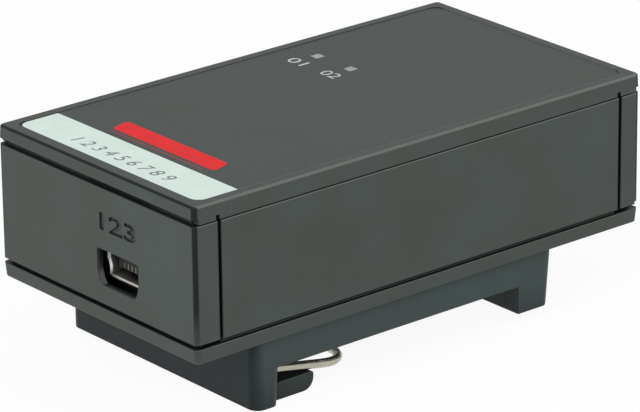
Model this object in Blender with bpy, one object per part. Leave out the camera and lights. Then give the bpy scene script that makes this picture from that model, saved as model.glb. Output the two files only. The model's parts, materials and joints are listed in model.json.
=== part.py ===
"""USB to serial adapter for a DIN rail: a plastic box with its rail holder, modelled in metres.

+X runs from the USB end to the serial end, +Z is up, and the origin lies on the plane that the
holder's block stands on, under the centre of the whole part's box.
"""

import math

import bmesh
import bpy
from mathutils import Matrix, Vector

MM = 0.001

# Box
BOX_L = 77.6 * MM
BOX_W = 42.0 * MM
CORNER_R = 0.6 * MM
CORNER_SEGMENTS = 3
LID_OVERHANG = 0.05 * MM
WALL_T = 2.2 * MM

# Lid
LID_SKIRT = 2.5 * MM
LID_T = 1.8 * MM
LID_DRAFT = 0.1 * MM
LID_EDGE_R = 0.3 * MM
LID_RIB_T = 1.2 * MM
LID_RIB_H = 2.5 * MM
LID_NOTCH_W = 0.5 * MM
LID_NOTCH_H = 0.65 * MM
LID_NOTCH_D = 0.7 * MM

# Seams and shadow grooves
SEAM = 0.2 * MM
SHADOW_H = 0.65 * MM
SHADOW_D = 0.7 * MM
REAR_SHADOW_RISE = 0.4 * MM
BASE_SKIRT = 2.05 * MM
BASE_DRAFT = 0.15 * MM
BASE_EDGE_R = 0.2 * MM

# End panels
PANEL_T = 2.0 * MM
FRONT_RETURN_L = 3.85 * MM
REAR_RETURN_L = 3.4 * MM
RETURN_T = 0.9 * MM
TONGUE_H = 1.1 * MM
TONGUE_STEP = 0.2 * MM
TONGUE_SIDE = 1.3 * MM
CORNER_GAP = 0.5 * MM
WALL_LAP = 1.4 * MM
CORNER_STEP = 0.1 * MM

# Clearances
FIT = 0.3 * MM
SMALL_FIT = 0.1 * MM
CONTACT_FIT = 0.05 * MM
SEAT = 0.1 * MM
HEADROOM = 1.05 * MM

# Label film and light pipes
RECESS_INSET = 1.6 * MM
RECESS_D = 0.45 * MM
RECESS_R = 1.6 * MM
FILM_T = 0.25 * MM
FILM_GAP = 0.1 * MM
FILM_REAR_FIT = 0.05 * MM
BAND_START = 0.35 * MM
BAND_L = 6.6 * MM
PIPE_SIDE = 1.45 * MM
PIPE_BACK = 28.1 * MM
PIPE_INSET = 7.0 * MM
PIPE_PITCH = 7.1 * MM
PIPE_FLANGE = 3.0 * MM
PIPE_FLANGE_T = 0.8 * MM
PIPE_ROD_R = 0.95 * MM

# Circuit board
BOARD_T = 1.6 * MM
BOARD_STAND = 2.3 * MM
BOARD_INSET = 0.6 * MM
BOARD_SETBACK = 2.2 * MM
BOARD_END_GAP = 1.2 * MM
BOARD_CORNER_R = 1.0 * MM

# Case screws and their bosses
SCREW_FRONT_INSET = 7.4 * MM
SCREW_REAR_INSET = 12.6 * MM
SCREW_INSET_Y = 5.1 * MM
BOSS_R = 2.5 * MM
SCREW_R = 1.3 * MM
SCREW_FIT = 0.15 * MM
SCREW_L = 8.5 * MM
SCREW_HEAD_R = 2.0 * MM
SCREW_HEAD_H = 1.5 * MM
SCREW_SINK = 0.3 * MM
DRIVE_W = 0.6 * MM
DRIVE_L = 2.4 * MM
DRIVE_D = 0.8 * MM

# USB socket
USB_Y = -4.65 * MM
USB_FRONT = 1.6 * MM
USB_L = 9.2 * MM
USB_W = 8.2 * MM
USB_WAIST = 7.4 * MM
USB_H = 4.1 * MM
USB_UPPER_H = 1.5 * MM
USB_STEP_H = 0.95 * MM
USB_R = 0.45 * MM
USB_SHELL_T = 0.4 * MM
USB_LEG_L = 1.4 * MM
USB_LEG_REACH = 1.0 * MM
USB_LEG_FRONT = 2.2 * MM
USB_LEG_REAR = 1.8 * MM
PORT_W = 8.7 * MM
PORT_H = 5.0 * MM
PORT_SIDE_H = 2.9 * MM
PORT_TAPER_W = 0.45 * MM
PORT_CHAMFER = 0.55 * MM
PORT_DROP = 0.25 * MM
PORT_WALL = 0.9 * MM
PORT_ROOM = 0.9 * MM
PORT_R = 0.35 * MM
USB_TONGUE_W = 5.2 * MM
USB_TONGUE_T = 1.5 * MM
USB_TONGUE_SET = 0.7 * MM
USB_TONGUE_LIFT = 0.15 * MM
USB_BACK_L = 3.0 * MM
CONTACT_COUNT = 5
CONTACT_PITCH = 0.8 * MM
CONTACT_W = 0.32 * MM
CONTACT_H = 0.85 * MM
CONTACT_TAIL = 1.4 * MM
CONTACT_TAIL_H = 0.3 * MM

# Serial plug
PLUG_RISE = 6.6 * MM
PLUG_EAR = 2.905 * MM
PLUG_BODY_LIP = 0.24 * MM
PLUG_FLANGE_H = 12.5 * MM
PLUG_FLANGE_T = 0.8 * MM
PLUG_FLANGE_R = 1.5 * MM
PLUG_D_W = 16.92 * MM
PLUG_D_H = 8.36 * MM
PLUG_D_R = 2.3 * MM
PLUG_D_SLOPE = 10.0
PLUG_D_T = 0.5 * MM
PLUG_REACH = 6.0 * MM
PLUG_FACE = 0.6 * MM
PLUG_BODY_H = 11.2 * MM
PLUG_BODY_L = 7.5 * MM
PLUG_HOLE_FIT = 0.2 * MM
PANEL_D_FIT = 0.4 * MM
PIN_R = 0.5 * MM
PIN_PITCH = 2.77 * MM
PIN_ROWS = 2.84 * MM
PIN_TIP = 5.2 * MM
PIN_BEND_R = 0.8 * MM
PIN_CLEAR = 1.2 * MM
PIN_STUB = 0.9 * MM

# Jack screws and the brackets behind the flange
JACK_AF = 5.0 * MM
JACK_L = 5.0 * MM
JACK_BORE_R = 1.25 * MM
JACK_BORE_D = 4.0 * MM
JACK_STUD_R = 1.4 * MM
JACK_EDGE = 0.3 * MM
BRACKET_W = 5.6 * MM
BRACKET_GAP = 0.495 * MM
BRACKET_T = 1.2 * MM
BRACKET_FOOT = 6.0 * MM
BRACKET_RISE = 3.2 * MM

# Chips and small components: each AT is a fraction of the board's length, then of its half width
LEAD_T = 0.25 * MM
LEAD_W = 0.35 * MM
BRIDGE_SIZE = (10.2 * MM, 5.3 * MM, 1.8 * MM)
BRIDGE_AT = (0.333, 0.055)
BRIDGE_LEAD_COUNT = 14
BRIDGE_PITCH = 0.65 * MM
BRIDGE_SPAN = 7.8 * MM
DRIVER_SIZE = (10.3 * MM, 7.5 * MM, 2.3 * MM)
DRIVER_AT = (0.670, -0.304)
DRIVER_LEAD_COUNT = 8
DRIVER_PITCH = 1.27 * MM
DRIVER_SPAN = 10.3 * MM
CRYSTAL_SIZE = (11.2 * MM, 4.6 * MM, 3.6 * MM)
CRYSTAL_AT = (0.347, 0.586)
CAN_R = 2.5 * MM
CAN_H = 5.4 * MM
CAN_BASE = 5.4 * MM
CAN_BASE_H = 0.9 * MM
CANS_AT = ((0.197, 0.470), (0.519, -0.718))
CERAMIC_SIZE = (3.2 * MM, 1.6 * MM, 1.3 * MM)
CERAMICS_AT = ((0.502, 0.166), (0.502, -0.028), (0.502, -0.221), (0.502, -0.414))
RESISTOR_SIZE = (2.0 * MM, 1.25 * MM, 0.55 * MM)
RESISTORS_AT = ((0.197, 0.028), (0.197, -0.110))
LED_RESISTOR_BACK = 4.1 * MM
FERRITE_SIZE = (4.5 * MM, 3.2 * MM, 2.0 * MM)
FERRITE_AT = (0.189, -0.470)
LED_SIZE = (2.0 * MM, 1.25 * MM, 0.5 * MM)
LED_LENS_R = 0.55 * MM
LED_LENS_H = 0.5 * MM
CHIP_EDGE = 0.2 * MM

# Rail holder
HOLDER_START = 10.3 * MM
HOLDER_L = 52.2 * MM
HOLDER_W = 40.0 * MM
PLATE_T = 4.35 * MM
HOLDER_R = 1.5 * MM
HOLDER_REAR_R = 1.0 * MM
BLOCK_L = 4.6 * MM
BLOCK_H = 5.4 * MM
BLOCK_EDGE_R = 0.6 * MM
BLOCK_CORNER_R = 1.2 * MM
BLOCK_DRAFT = 0.6 * MM
LIP_L = 6.2 * MM
LIP_SET = 1.3 * MM
LIP_T = 2.45 * MM
LIP_RISE = 0.1 * MM
LIP_R = 1.7 * MM
LIP_TIP_R = 0.3 * MM
FOOT_L = 6.3 * MM
FOOT_H = 4.0 * MM
FOOT_R = 0.9 * MM
FOOT_DRAFT = 0.75 * MM
HOOK_L = 1.4 * MM
HOOK_W = 20.0 * MM
HOOK_T = 2.0 * MM
CORE_D = 3.0 * MM
CORE_RIB = 1.6 * MM
CORE_FRONT = 12.6 * MM
CORE_REAR = 3.7 * MM
CORE_INNER = 5.5 * MM
CORE_SIDE = 3.2 * MM
CORE_COLUMN_COUNT = 3
HOLDER_SCREW_FRONT = 15.6 * MM
HOLDER_SCREW_REAR = 6.7 * MM
HOLDER_SCREW_L = 5.2 * MM
HOLDER_BOSS_R = 2.6 * MM
HOLDER_BOSS_H = 1.9 * MM

# Spring wire
WIRE_R = 0.62 * MM
WIRE_SET = 1.8 * MM
WIRE_REACH = 14.0 * MM
WIRE_BEND_R = 6.0 * MM
WIRE_DROP_ROOT = 0.88 * MM
WIRE_DROP_END = 3.6 * MM
WIRE_BITE = 3.0 * MM
WIRE_FIT = 0.1 * MM

# Places that follow from the sizes
HOLDER_H = PLATE_T + BLOCK_H
BOX_H = BASE_SKIRT + BOARD_STAND + BOARD_T + PLUG_RISE + PLUG_FLANGE_H / 2 + HEADROOM + LID_T
PLUG_BODY_W = PLUG_D_W + 2 * (PLUG_D_T + PLUG_BODY_LIP)
PLUG_HOLES = PLUG_BODY_W + BRACKET_W + 2 * BRACKET_GAP
PLUG_FLANGE_W = PLUG_HOLES + 2 * PLUG_EAR
TOTAL_L = BOX_L - LID_OVERHANG + JACK_L
FRONT = -TOTAL_L / 2
REAR = FRONT + BOX_L
BODY_FRONT = FRONT + LID_OVERHANG
BODY_REAR = REAR - LID_OVERHANG
BODY_HALF = BOX_W / 2 - LID_OVERHANG
Z_BASE = HOLDER_H
Z_TOP = Z_BASE + BOX_H
Z_FLOOR = Z_BASE + BASE_SKIRT
Z_PANEL = Z_FLOOR + SHADOW_H
Z_LID = Z_TOP - LID_SKIRT
Z_WALL = Z_LID - SEAM
Z_CEILING = Z_TOP - LID_T
Z_FILM = Z_TOP - RECESS_D + FILM_GAP + FILM_T
Z_BOARD_LOW = Z_FLOOR + BOARD_STAND
Z_BOARD = Z_BOARD_LOW + BOARD_T
Z_USB = Z_BOARD + SEAT + USB_H / 2
Z_PLUG = Z_BOARD + PLUG_RISE
Z_PLATE = Z_BASE - PLATE_T
INNER_HALF = BODY_HALF - WALL_T
SCREW_X = (FRONT + SCREW_FRONT_INSET, REAR - SCREW_REAR_INSET)
SCREW_Y = (SCREW_INSET_Y - BOX_W / 2, BOX_W / 2 - SCREW_INSET_Y)
FLANGE_X = BODY_REAR - PANEL_T - SEAT
HOLDER_X = FRONT + HOLDER_START
HOLDER_END = HOLDER_X + HOLDER_L
BLOCK_END = HOLDER_X + BLOCK_L
FOOT_X = HOLDER_END - FOOT_L
HOLDER_SCREWS = [(x, 0.0) for x in (BLOCK_END + HOLDER_SCREW_FRONT, FOOT_X - HOLDER_SCREW_REAR)]
BOARD_FRONT = FRONT + USB_FRONT + BOARD_SETBACK
BOARD_REAR = FLANGE_X - PLUG_FLANGE_T - BOARD_END_GAP
BOARD_HALF = INNER_HALF - BOARD_INSET
OVER = 1.0 * MM
SHARP_ANGLE = 35.0
DECIMALS = 8


for old in list(bpy.data.objects):
    bpy.data.objects.remove(old, do_unlink=True)

PART = bpy.data.collections.new("usb_serial_adapter")
CUTTERS = bpy.data.collections.new("cutters")
bpy.context.scene.collection.children.link(PART)
bpy.context.scene.collection.children.link(CUTTERS)
CUTTERS.hide_render = True


def material(name, color, roughness, metallic=0.0):
    made = bpy.data.materials.new(name)
    made.use_nodes = True
    shader = made.node_tree.nodes["Principled BSDF"]
    shader.inputs["Base Color"].default_value = (*color, 1.0)
    shader.inputs["Roughness"].default_value = roughness
    shader.inputs["Metallic"].default_value = metallic
    made.diffuse_color = (*color, 1.0)
    return made


BLACK_ABS = material("black_abs", (0.080, 0.088, 0.086), 0.45)
HOLDER_PLASTIC = material("holder_plastic", (0.050, 0.064, 0.070), 0.38)
FILM_DARK = material("film_dark", (0.085, 0.093, 0.090), 0.55)
FILM_PALE = material("film_pale", (0.62, 0.72, 0.68), 0.5)
CLEAR_PLASTIC = material("clear_plastic", (0.45, 0.52, 0.50), 0.3)
BOARD_GREEN = material("board_green", (0.02, 0.16, 0.06), 0.45)
BLACK_RESIN = material("black_resin", (0.02, 0.02, 0.022), 0.5)
TINNED_STEEL = material("tinned_steel", (0.72, 0.71, 0.68), 0.28, 1.0)
ZINC_STEEL = material("zinc_steel", (0.55, 0.56, 0.57), 0.35, 1.0)
SPRING_STEEL = material("spring_steel", (0.68, 0.65, 0.60), 0.25, 1.0)
GOLD_PLATE = material("gold_plate", (0.80, 0.62, 0.28), 0.3, 1.0)
CAN_ALUMINIUM = material("can_aluminium", (0.75, 0.76, 0.78), 0.3, 1.0)
CERAMIC_TAN = material("ceramic_tan", (0.42, 0.30, 0.20), 0.5)
FERRITE_GREY = material("ferrite_grey", (0.10, 0.10, 0.11), 0.6)
LED_WHITE = material("led_white", (0.75, 0.75, 0.70), 0.35)


def as_object(name, mesh, look=None, helper=False):
    obj = bpy.data.objects.new(name, mesh)
    (CUTTERS if helper else PART).objects.link(obj)
    if helper:
        obj.hide_render = True
        obj.display_type = "WIRE"
    if look is not None:
        mesh.materials.append(look)
    return obj


def from_bmesh(name, shape, look=None, helper=False):
    """Makes the object, with its points on a fine grid, so that faces meant to be flush are."""
    for vert in shape.verts:
        vert.co = [round(value, DECIMALS) for value in vert.co]
    bmesh.ops.recalc_face_normals(shape, faces=shape.faces[:])
    mesh = bpy.data.meshes.new(name)
    shape.to_mesh(mesh)
    shape.free()
    return as_object(name, mesh, look, helper)


def add_block(shape, low, high):
    """Adds a box between two corners to a bmesh, and returns its vertices."""
    size = [b - a for a, b in zip(low, high)]
    middle = [(a + b) / 2 for a, b in zip(low, high)]
    place = Matrix.Translation(middle) @ Matrix.Diagonal((*size, 1.0))
    return bmesh.ops.create_cube(shape, size=1.0, matrix=place)["verts"]


def block(name, low, high, look=None, helper=False):
    shape = bmesh.new()
    add_block(shape, low, high)
    return from_bmesh(name, shape, look, helper)


def blocks(name, boxes, look=None, helper=False):
    shape = bmesh.new()
    for low, high in boxes:
        add_block(shape, low, high)
    return from_bmesh(name, shape, look, helper)


def along(direction):
    return Vector((0, 0, 1)).rotation_difference(Vector(direction)).to_matrix().to_4x4()


def add_rod(shape, start, direction, length, radius, tip=None, sides=24, turn=0.0):
    """Adds a cylinder or a cone frustum that starts at a point and runs along a direction."""
    middle = Vector(start) + Vector(direction) * (length / 2)
    place = Matrix.Translation(middle) @ along(direction) @ Matrix.Rotation(turn, 4, "Z")
    far = radius if tip is None else tip
    bmesh.ops.create_cone(
        shape, cap_ends=True, segments=sides, radius1=radius, radius2=far, depth=length, matrix=place
    )


def rods(name, starts, direction, length, radius, look=None, helper=False, sides=24):
    shape = bmesh.new()
    for start in starts:
        add_rod(shape, start, direction, length, radius, sides=sides)
    return from_bmesh(name, shape, look, helper)


def is_upright(edge):
    a, b = edge.verts
    return abs(a.co.z - b.co.z) > 0.5 * edge.calc_length()


def round_edges(shape, edges, radius, segments):
    bmesh.ops.bevel(
        shape, geom=edges, offset=radius, offset_type="OFFSET", segments=segments, profile=0.5,
        affect="EDGES", clamp_overlap=True,
    )


def slab(name, low, high, corner, look=None, helper=False, top_in=0.0, low_in=0.0, top_r=0.0, low_r=0.0,
         corners=CORNER_SEGMENTS):
    """A box with rounded upright edges, and with draft and a rounding at its top or bottom."""
    shape = bmesh.new()
    add_block(shape, low, high)
    middle = [(a + b) / 2 for a, b in zip(low, high)]
    for vert in shape.verts:
        inset = top_in if vert.co.z > middle[2] else low_in
        for axis in (0, 1):
            vert.co[axis] -= math.copysign(inset, vert.co[axis] - middle[axis])
    upright = [edge for edge in shape.edges if is_upright(edge)]
    if corner > 0:
        round_edges(shape, upright, corner, corners)
    for radius, z in ((top_r, high[2]), (low_r, low[2])):
        if radius > 0:
            rim = [e for e in shape.edges if all(abs(v.co.z - z) < 1e-7 for v in e.verts)]
            round_edges(shape, rim, radius, 3)
    return from_bmesh(name, shape, look, helper)


def outline_prism(name, points, place, depth, look=None, helper=False):
    """A flat outline, drawn as a filled curve in its own plane and made as thick as depth."""
    curve = bpy.data.curves.new(name, "CURVE")
    curve.dimensions = "2D"
    curve.fill_mode = "BOTH"
    curve.extrude = depth / 2
    spline = curve.splines.new("POLY")
    spline.points.add(len(points) - 1)
    for point, (u, v) in zip(spline.points, points):
        point.co = (u, v, 0.0, 1.0)
    spline.use_cyclic_u = True
    return curve_mesh(name, curve, place, look, helper)


def curve_mesh(name, curve, place, look=None, helper=False):
    """Turns a curve into a closed mesh in world space, with its caps welded."""
    guide = bpy.data.objects.new(name + "_guide", curve)
    CUTTERS.objects.link(guide)
    guide.matrix_world = place
    bpy.context.view_layer.update()
    graph = bpy.context.evaluated_depsgraph_get()
    mesh = bpy.data.meshes.new_from_object(guide.evaluated_get(graph))
    mesh.name = name
    mesh.transform(place)
    bpy.data.objects.remove(guide, do_unlink=True)
    shape = bmesh.new()
    shape.from_mesh(mesh)
    bmesh.ops.remove_doubles(shape, verts=shape.verts[:], dist=1e-7)
    bpy.data.meshes.remove(mesh)
    return from_bmesh(name, shape, look, helper)


def facing_x(x, y, z):
    """Places an outline so that its u runs along +Y and its v along +Z, with its thickness along X."""
    turn = Matrix(((0, 0, 1), (1, 0, 0), (0, 1, 0))).to_4x4()
    return Matrix.Translation((x, y, z)) @ turn


def facing_y(x, y, z):
    """Places an outline so that its u runs along +X and its v along +Z, with its thickness along Y."""
    turn = Matrix(((1, 0, 0), (0, 0, -1), (0, 1, 0))).to_4x4()
    return Matrix.Translation((x, y, z)) @ turn


def on_board(along_board, across_board):
    """The x and y of a place given as fractions of the board's length and half width."""
    return BOARD_FRONT + along_board * (BOARD_REAR - BOARD_FRONT), across_board * BOARD_HALF


def boolean(obj, other, operation="DIFFERENCE"):
    change = obj.modifiers.new(other.name, "BOOLEAN")
    change.operation = operation
    change.solver = "EXACT"
    change.object = other


def cut(obj, *others):
    for other in others:
        boolean(obj, other)


def join(obj, *others):
    for other in others:
        boolean(obj, other, "UNION")


def rounded(points, radii, segments=4):
    """Replaces each corner of an outline by an arc of its own radius."""
    out = []
    count = len(points)
    for i, (corner, radius) in enumerate(zip(points, radii)):
        here = Vector(corner)
        before = (Vector(points[i - 1]) - here).normalized()
        after = (Vector(points[(i + 1) % count]) - here).normalized()
        if radius <= 0:
            out.append(tuple(here))
            continue
        half = before.angle(after) / 2
        reach = radius / math.tan(half)
        centre = here + (before + after).normalized() * (radius / math.sin(half))
        first = here + before * reach - centre
        last = here + after * reach - centre
        sweep = first.angle(last)
        side = math.copysign(1.0, first.x * last.y - first.y * last.x)
        for step in range(segments + 1):
            turn = side * sweep * step / segments
            out.append((
                centre.x + first.x * math.cos(turn) - first.y * math.sin(turn),
                centre.y + first.x * math.sin(turn) + first.y * math.cos(turn),
            ))
    return out


# Bottom cover: a tray with a drafted skirt, two long walls, bosses, and slots for the end panels

WALL_FRONT = BODY_FRONT + FRONT_RETURN_L + CORNER_GAP
WALL_REAR = BODY_REAR - REAR_RETURN_L - CORNER_GAP

bottom_cover = slab(
    "bottom_cover", (BODY_FRONT, -BODY_HALF, Z_BASE), (BODY_REAR, BODY_HALF, Z_FLOOR), CORNER_R,
    BLACK_ABS, low_in=BASE_DRAFT, low_r=BASE_EDGE_R,
)
for sign in (-1, 1):
    side = "near" if sign < 0 else "far"
    profile = [
        (sign * INNER_HALF, Z_FLOOR - BASE_SKIRT / 2), (sign * (BODY_HALF - SHADOW_D), Z_FLOOR - BASE_SKIRT / 2),
        (sign * (BODY_HALF - SHADOW_D), Z_PANEL), (sign * BODY_HALF, Z_PANEL), (sign * BODY_HALF, Z_WALL),
        (sign * INNER_HALF, Z_WALL),
    ]
    wall = outline_prism(
        f"{side}_wall", profile, facing_x((WALL_FRONT + WALL_REAR) / 2, 0, 0), WALL_REAR - WALL_FRONT, helper=True,
    )
    lap_y = sorted((sign * (INNER_HALF + CORNER_STEP), sign * (BODY_HALF - RETURN_T - FIT)))
    lap = block(
        f"{side}_wall_lap", (WALL_FRONT - WALL_LAP, lap_y[0], Z_FLOOR - BASE_SKIRT / 2),
        (WALL_REAR + WALL_LAP, lap_y[1], Z_WALL - FIT), helper=True,
    )
    join(bottom_cover, wall, lap)

base_bosses = rods(
    "base_bosses", [(x, y, Z_FLOOR - OVER) for x in SCREW_X for y in SCREW_Y], (0, 0, 1),
    Z_BOARD_LOW - SEAT - Z_FLOOR + OVER, BOSS_R, helper=True,
)
join(bottom_cover, base_bosses)
holder_bosses = rods(
    "holder_screw_bosses", [(x, y, Z_FLOOR - OVER) for x, y in HOLDER_SCREWS], (0, 0, 1),
    HOLDER_BOSS_H + OVER, HOLDER_BOSS_R, helper=True,
)
join(bottom_cover, holder_bosses)

Z_HEAD = Z_BASE + SCREW_SINK
head_wells = rods(
    "case_screw_wells", [(x, y, Z_BASE - OVER) for x in SCREW_X for y in SCREW_Y], (0, 0, 1),
    SCREW_SINK + SCREW_HEAD_H + SCREW_FIT + OVER, SCREW_HEAD_R + SCREW_FIT, helper=True,
)
shank_holes = rods(
    "case_screw_holes", [(x, y, Z_BASE - OVER) for x in SCREW_X for y in SCREW_Y], (0, 0, 1),
    Z_BOARD_LOW - Z_BASE + 2 * OVER, SCREW_R + SCREW_FIT, helper=True, sides=16,
)
holder_pilots = rods(
    "holder_screw_pilots", [(x, y, Z_BASE - OVER) for x, y in HOLDER_SCREWS], (0, 0, 1),
    Z_FLOOR + HOLDER_BOSS_H - Z_BASE + 2 * OVER, SCREW_R + SCREW_FIT, helper=True, sides=16,
)
cut(bottom_cover, head_wells, shank_holes, holder_pilots)

TONGUE_X = {
    "front": (BODY_FRONT + SHADOW_D, BODY_FRONT + PANEL_T - TONGUE_STEP),
    "rear": (BODY_REAR - PANEL_T + TONGUE_STEP, BODY_REAR - SHADOW_D),
}
TONGUE_HALF = BODY_HALF - TONGUE_SIDE
for end, (x_low, x_high) in TONGUE_X.items():
    slot = block(
        f"{end}_floor_slot", (x_low - FIT, -TONGUE_HALF - FIT, Z_PANEL - TONGUE_H - FIT),
        (x_high + FIT, TONGUE_HALF + FIT, Z_FLOOR + OVER), helper=True,
    )
    cut(bottom_cover, slot)


# Top cover: a drafted lid, recessed for the label, with slots, ribs and bosses under it

top_cover = slab(
    "top_cover", (FRONT, -BOX_W / 2, Z_LID), (REAR, BOX_W / 2, Z_TOP), CORNER_R, BLACK_ABS,
    top_in=LID_DRAFT, top_r=LID_EDGE_R,
)
POCKET_X = (TONGUE_X["front"][1] + 2 * FIT, TONGUE_X["rear"][0] - 2 * FIT)
POCKET_HALF = INNER_HALF - FIT - LID_RIB_T / 2
lid_pocket = block(
    "lid_pocket", (POCKET_X[0], -POCKET_HALF, Z_LID - OVER), (POCKET_X[1], POCKET_HALF, Z_CEILING), helper=True,
)
cut(top_cover, lid_pocket)
RIB_X = (SCREW_X[0] + BOSS_R + OVER, SCREW_X[1] - BOSS_R - OVER)
for sign in (-1, 1):
    side = "near" if sign < 0 else "far"
    y_low, y_high = sorted((sign * (INNER_HALF - FIT), sign * (INNER_HALF - FIT - LID_RIB_T)))
    rib = block(
        f"{side}_lid_rib", (RIB_X[0], y_low, Z_LID - LID_RIB_H), (RIB_X[1], y_high, Z_CEILING + OVER / 2),
        helper=True,
    )
    join(top_cover, rib)
lid_bosses = rods(
    "lid_bosses", [(x, y, Z_BOARD + SEAT) for x in SCREW_X for y in SCREW_Y], (0, 0, 1),
    Z_CEILING - Z_BOARD - SEAT + OVER / 2, BOSS_R, helper=True,
)
join(top_cover, lid_bosses)
Z_SCREW_TIP = Z_HEAD + SCREW_HEAD_H + SCREW_L
lid_pilots = rods(
    "lid_pilots", [(x, y, Z_BOARD) for x in SCREW_X for y in SCREW_Y], (0, 0, 1),
    Z_SCREW_TIP - Z_BOARD + FIT, SCREW_R + SCREW_FIT, helper=True, sides=16,
)
recess = slab(
    "label_recess", (FRONT + RECESS_INSET, RECESS_INSET - BOX_W / 2, Z_TOP - RECESS_D),
    (REAR - RECESS_INSET, BOX_W / 2 - RECESS_INSET, Z_TOP + OVER), RECESS_R, helper=True,
)
PIPES = [(REAR - PIPE_BACK, BOX_W / 2 - PIPE_INSET - step * PIPE_PITCH) for step in (1, 0)]
HOLE_HALF = PIPE_SIDE / 2 + SMALL_FIT
window_holes = blocks(
    "window_holes",
    [((x - HOLE_HALF, y - HOLE_HALF, Z_LID - OVER), (x + HOLE_HALF, y + HOLE_HALF, Z_TOP + OVER))
     for x, y in PIPES],
    helper=True,
)
cut(top_cover, lid_pilots, recess, window_holes)
top_grooves = blocks(
    "top_shadow_grooves",
    [((FRONT - OVER, -BOX_W, Z_LID - OVER), (BODY_FRONT + SHADOW_D, BOX_W, Z_LID + SHADOW_H)),
     ((BODY_REAR - SHADOW_D, -BOX_W, Z_LID - OVER), (REAR + OVER, BOX_W, Z_LID + SHADOW_H))],
    helper=True,
)
cut(top_cover, top_grooves)
for end, (x_low, x_high) in TONGUE_X.items():
    slot = block(
        f"{end}_lid_slot", (x_low - FIT, -TONGUE_HALF - FIT, Z_LID - OVER),
        (x_high + FIT, TONGUE_HALF + FIT, Z_WALL + TONGUE_H + FIT), helper=True,
    )
    cut(top_cover, slot)
NOTCH_X = (WALL_FRONT - CORNER_GAP, WALL_REAR)
lid_notches = blocks(
    "lid_notches",
    [((x - LID_NOTCH_W / 2, y - LID_NOTCH_D, Z_LID - OVER), (x + LID_NOTCH_W / 2, y + LID_NOTCH_D, Z_LID + LID_NOTCH_H))
     for x in NOTCH_X for y in (-BOX_W / 2, BOX_W / 2)],
    helper=True,
)
cut(top_cover, lid_notches)


# End panels: a plate with short returns round the corners, and a tongue above and below

def end_panel(name, end, outer_x, inward, return_l):
    """inward is +1 on the front panel and -1 on the rear one."""
    back_x = outer_x + inward * return_l
    far_x = back_x + inward * 2 * CORNER_R
    x_low, x_high = sorted((outer_x, far_x))
    panel = slab(name, (x_low, -BODY_HALF, Z_PANEL), (x_high, BODY_HALF, Z_WALL), CORNER_R, BLACK_ABS)
    trim_x = sorted((back_x, far_x + inward * OVER))
    trim = block(
        name + "_trim", (trim_x[0], -BODY_HALF - OVER, Z_PANEL - OVER),
        (trim_x[1], BODY_HALF + OVER, Z_WALL + OVER), helper=True,
    )
    hollow_x = sorted((outer_x + inward * PANEL_T, far_x + inward * OVER))
    hollow = block(
        name + "_hollow", (hollow_x[0], RETURN_T - BODY_HALF, Z_PANEL - OVER),
        (hollow_x[1], BODY_HALF - RETURN_T, Z_WALL + OVER), helper=True,
    )
    tongue = block(
        name + "_tongue", (TONGUE_X[end][0], -TONGUE_HALF, Z_PANEL - TONGUE_H),
        (TONGUE_X[end][1], TONGUE_HALF, Z_WALL + TONGUE_H), helper=True,
    )
    cut(panel, trim, hollow)
    join(panel, tongue)
    return panel


front_panel = end_panel("front_panel", "front", BODY_FRONT, 1, FRONT_RETURN_L)
rear_panel = end_panel("rear_panel", "rear", BODY_REAR, -1, REAR_RETURN_L)
rear_groove = block(
    "rear_shadow_groove", (BODY_REAR - SHADOW_D, -BOX_W, Z_PANEL - OVER),
    (REAR + OVER, BOX_W, Z_PANEL + REAR_SHADOW_RISE), helper=True,
)
cut(rear_panel, rear_groove)

port_top = PORT_H / 2 - PORT_DROP
port_low = -PORT_H / 2 - PORT_DROP
port_points = [
    (-PORT_W / 2, port_top), (PORT_W / 2, port_top), (PORT_W / 2, port_top - PORT_SIDE_H),
    (PORT_W / 2 - PORT_TAPER_W, port_low + PORT_CHAMFER), (PORT_W / 2 - PORT_TAPER_W - PORT_CHAMFER, port_low),
    (PORT_TAPER_W + PORT_CHAMFER - PORT_W / 2, port_low), (PORT_TAPER_W - PORT_W / 2, port_low + PORT_CHAMFER),
    (-PORT_W / 2, port_top - PORT_SIDE_H),
]
usb_port = outline_prism(
    "usb_port", rounded(port_points, [PORT_R, PORT_R, 0, 0, 0, 0, 0, 0], 3),
    facing_x(BODY_FRONT + PANEL_T / 2, USB_Y, Z_USB), PANEL_T + 2 * OVER, helper=True,
)
port_relief = block(
    "port_relief", (BODY_FRONT + PORT_WALL, USB_Y - PORT_W / 2 - PORT_ROOM, Z_USB + port_low - PORT_ROOM),
    (BODY_FRONT + PANEL_T + OVER, USB_Y + PORT_W / 2 + PORT_ROOM, Z_USB + port_top + PORT_ROOM), helper=True,
)
cut(front_panel, port_relief, usb_port)


def d_outline(width, height, radius, grow=0.0, segments=4):
    """The plug's D: wide at the top, with sides sloping in to the bottom."""
    lean = height * math.tan(math.radians(PLUG_D_SLOPE))
    half_top, half_low = width / 2 + grow, width / 2 - lean + grow
    top, low = height / 2 + grow, -height / 2 - grow
    corners = [(-half_top, top), (half_top, top), (half_low, low), (-half_low, low)]
    return rounded(corners, [radius + grow] * 4, segments)


panel_d = outline_prism(
    "panel_d", d_outline(PLUG_D_W, PLUG_D_H, PLUG_D_R, PLUG_D_T + PANEL_D_FIT),
    facing_x(BODY_REAR - PANEL_T / 2, 0, Z_PLUG), PANEL_T + 2 * OVER, helper=True,
)
JACKS = [(y, Z_PLUG) for y in (-PLUG_HOLES / 2, PLUG_HOLES / 2)]
panel_jack_holes = rods(
    "panel_jack_holes", [(BODY_REAR - PANEL_T - OVER, y, z) for y, z in JACKS], (1, 0, 0),
    PANEL_T + 2 * OVER, JACK_STUD_R + PLUG_HOLE_FIT, helper=True, sides=20,
)
cut(rear_panel, panel_d, panel_jack_holes)


# Label film with a pale band at the USB end, and the two light pipes

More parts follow.
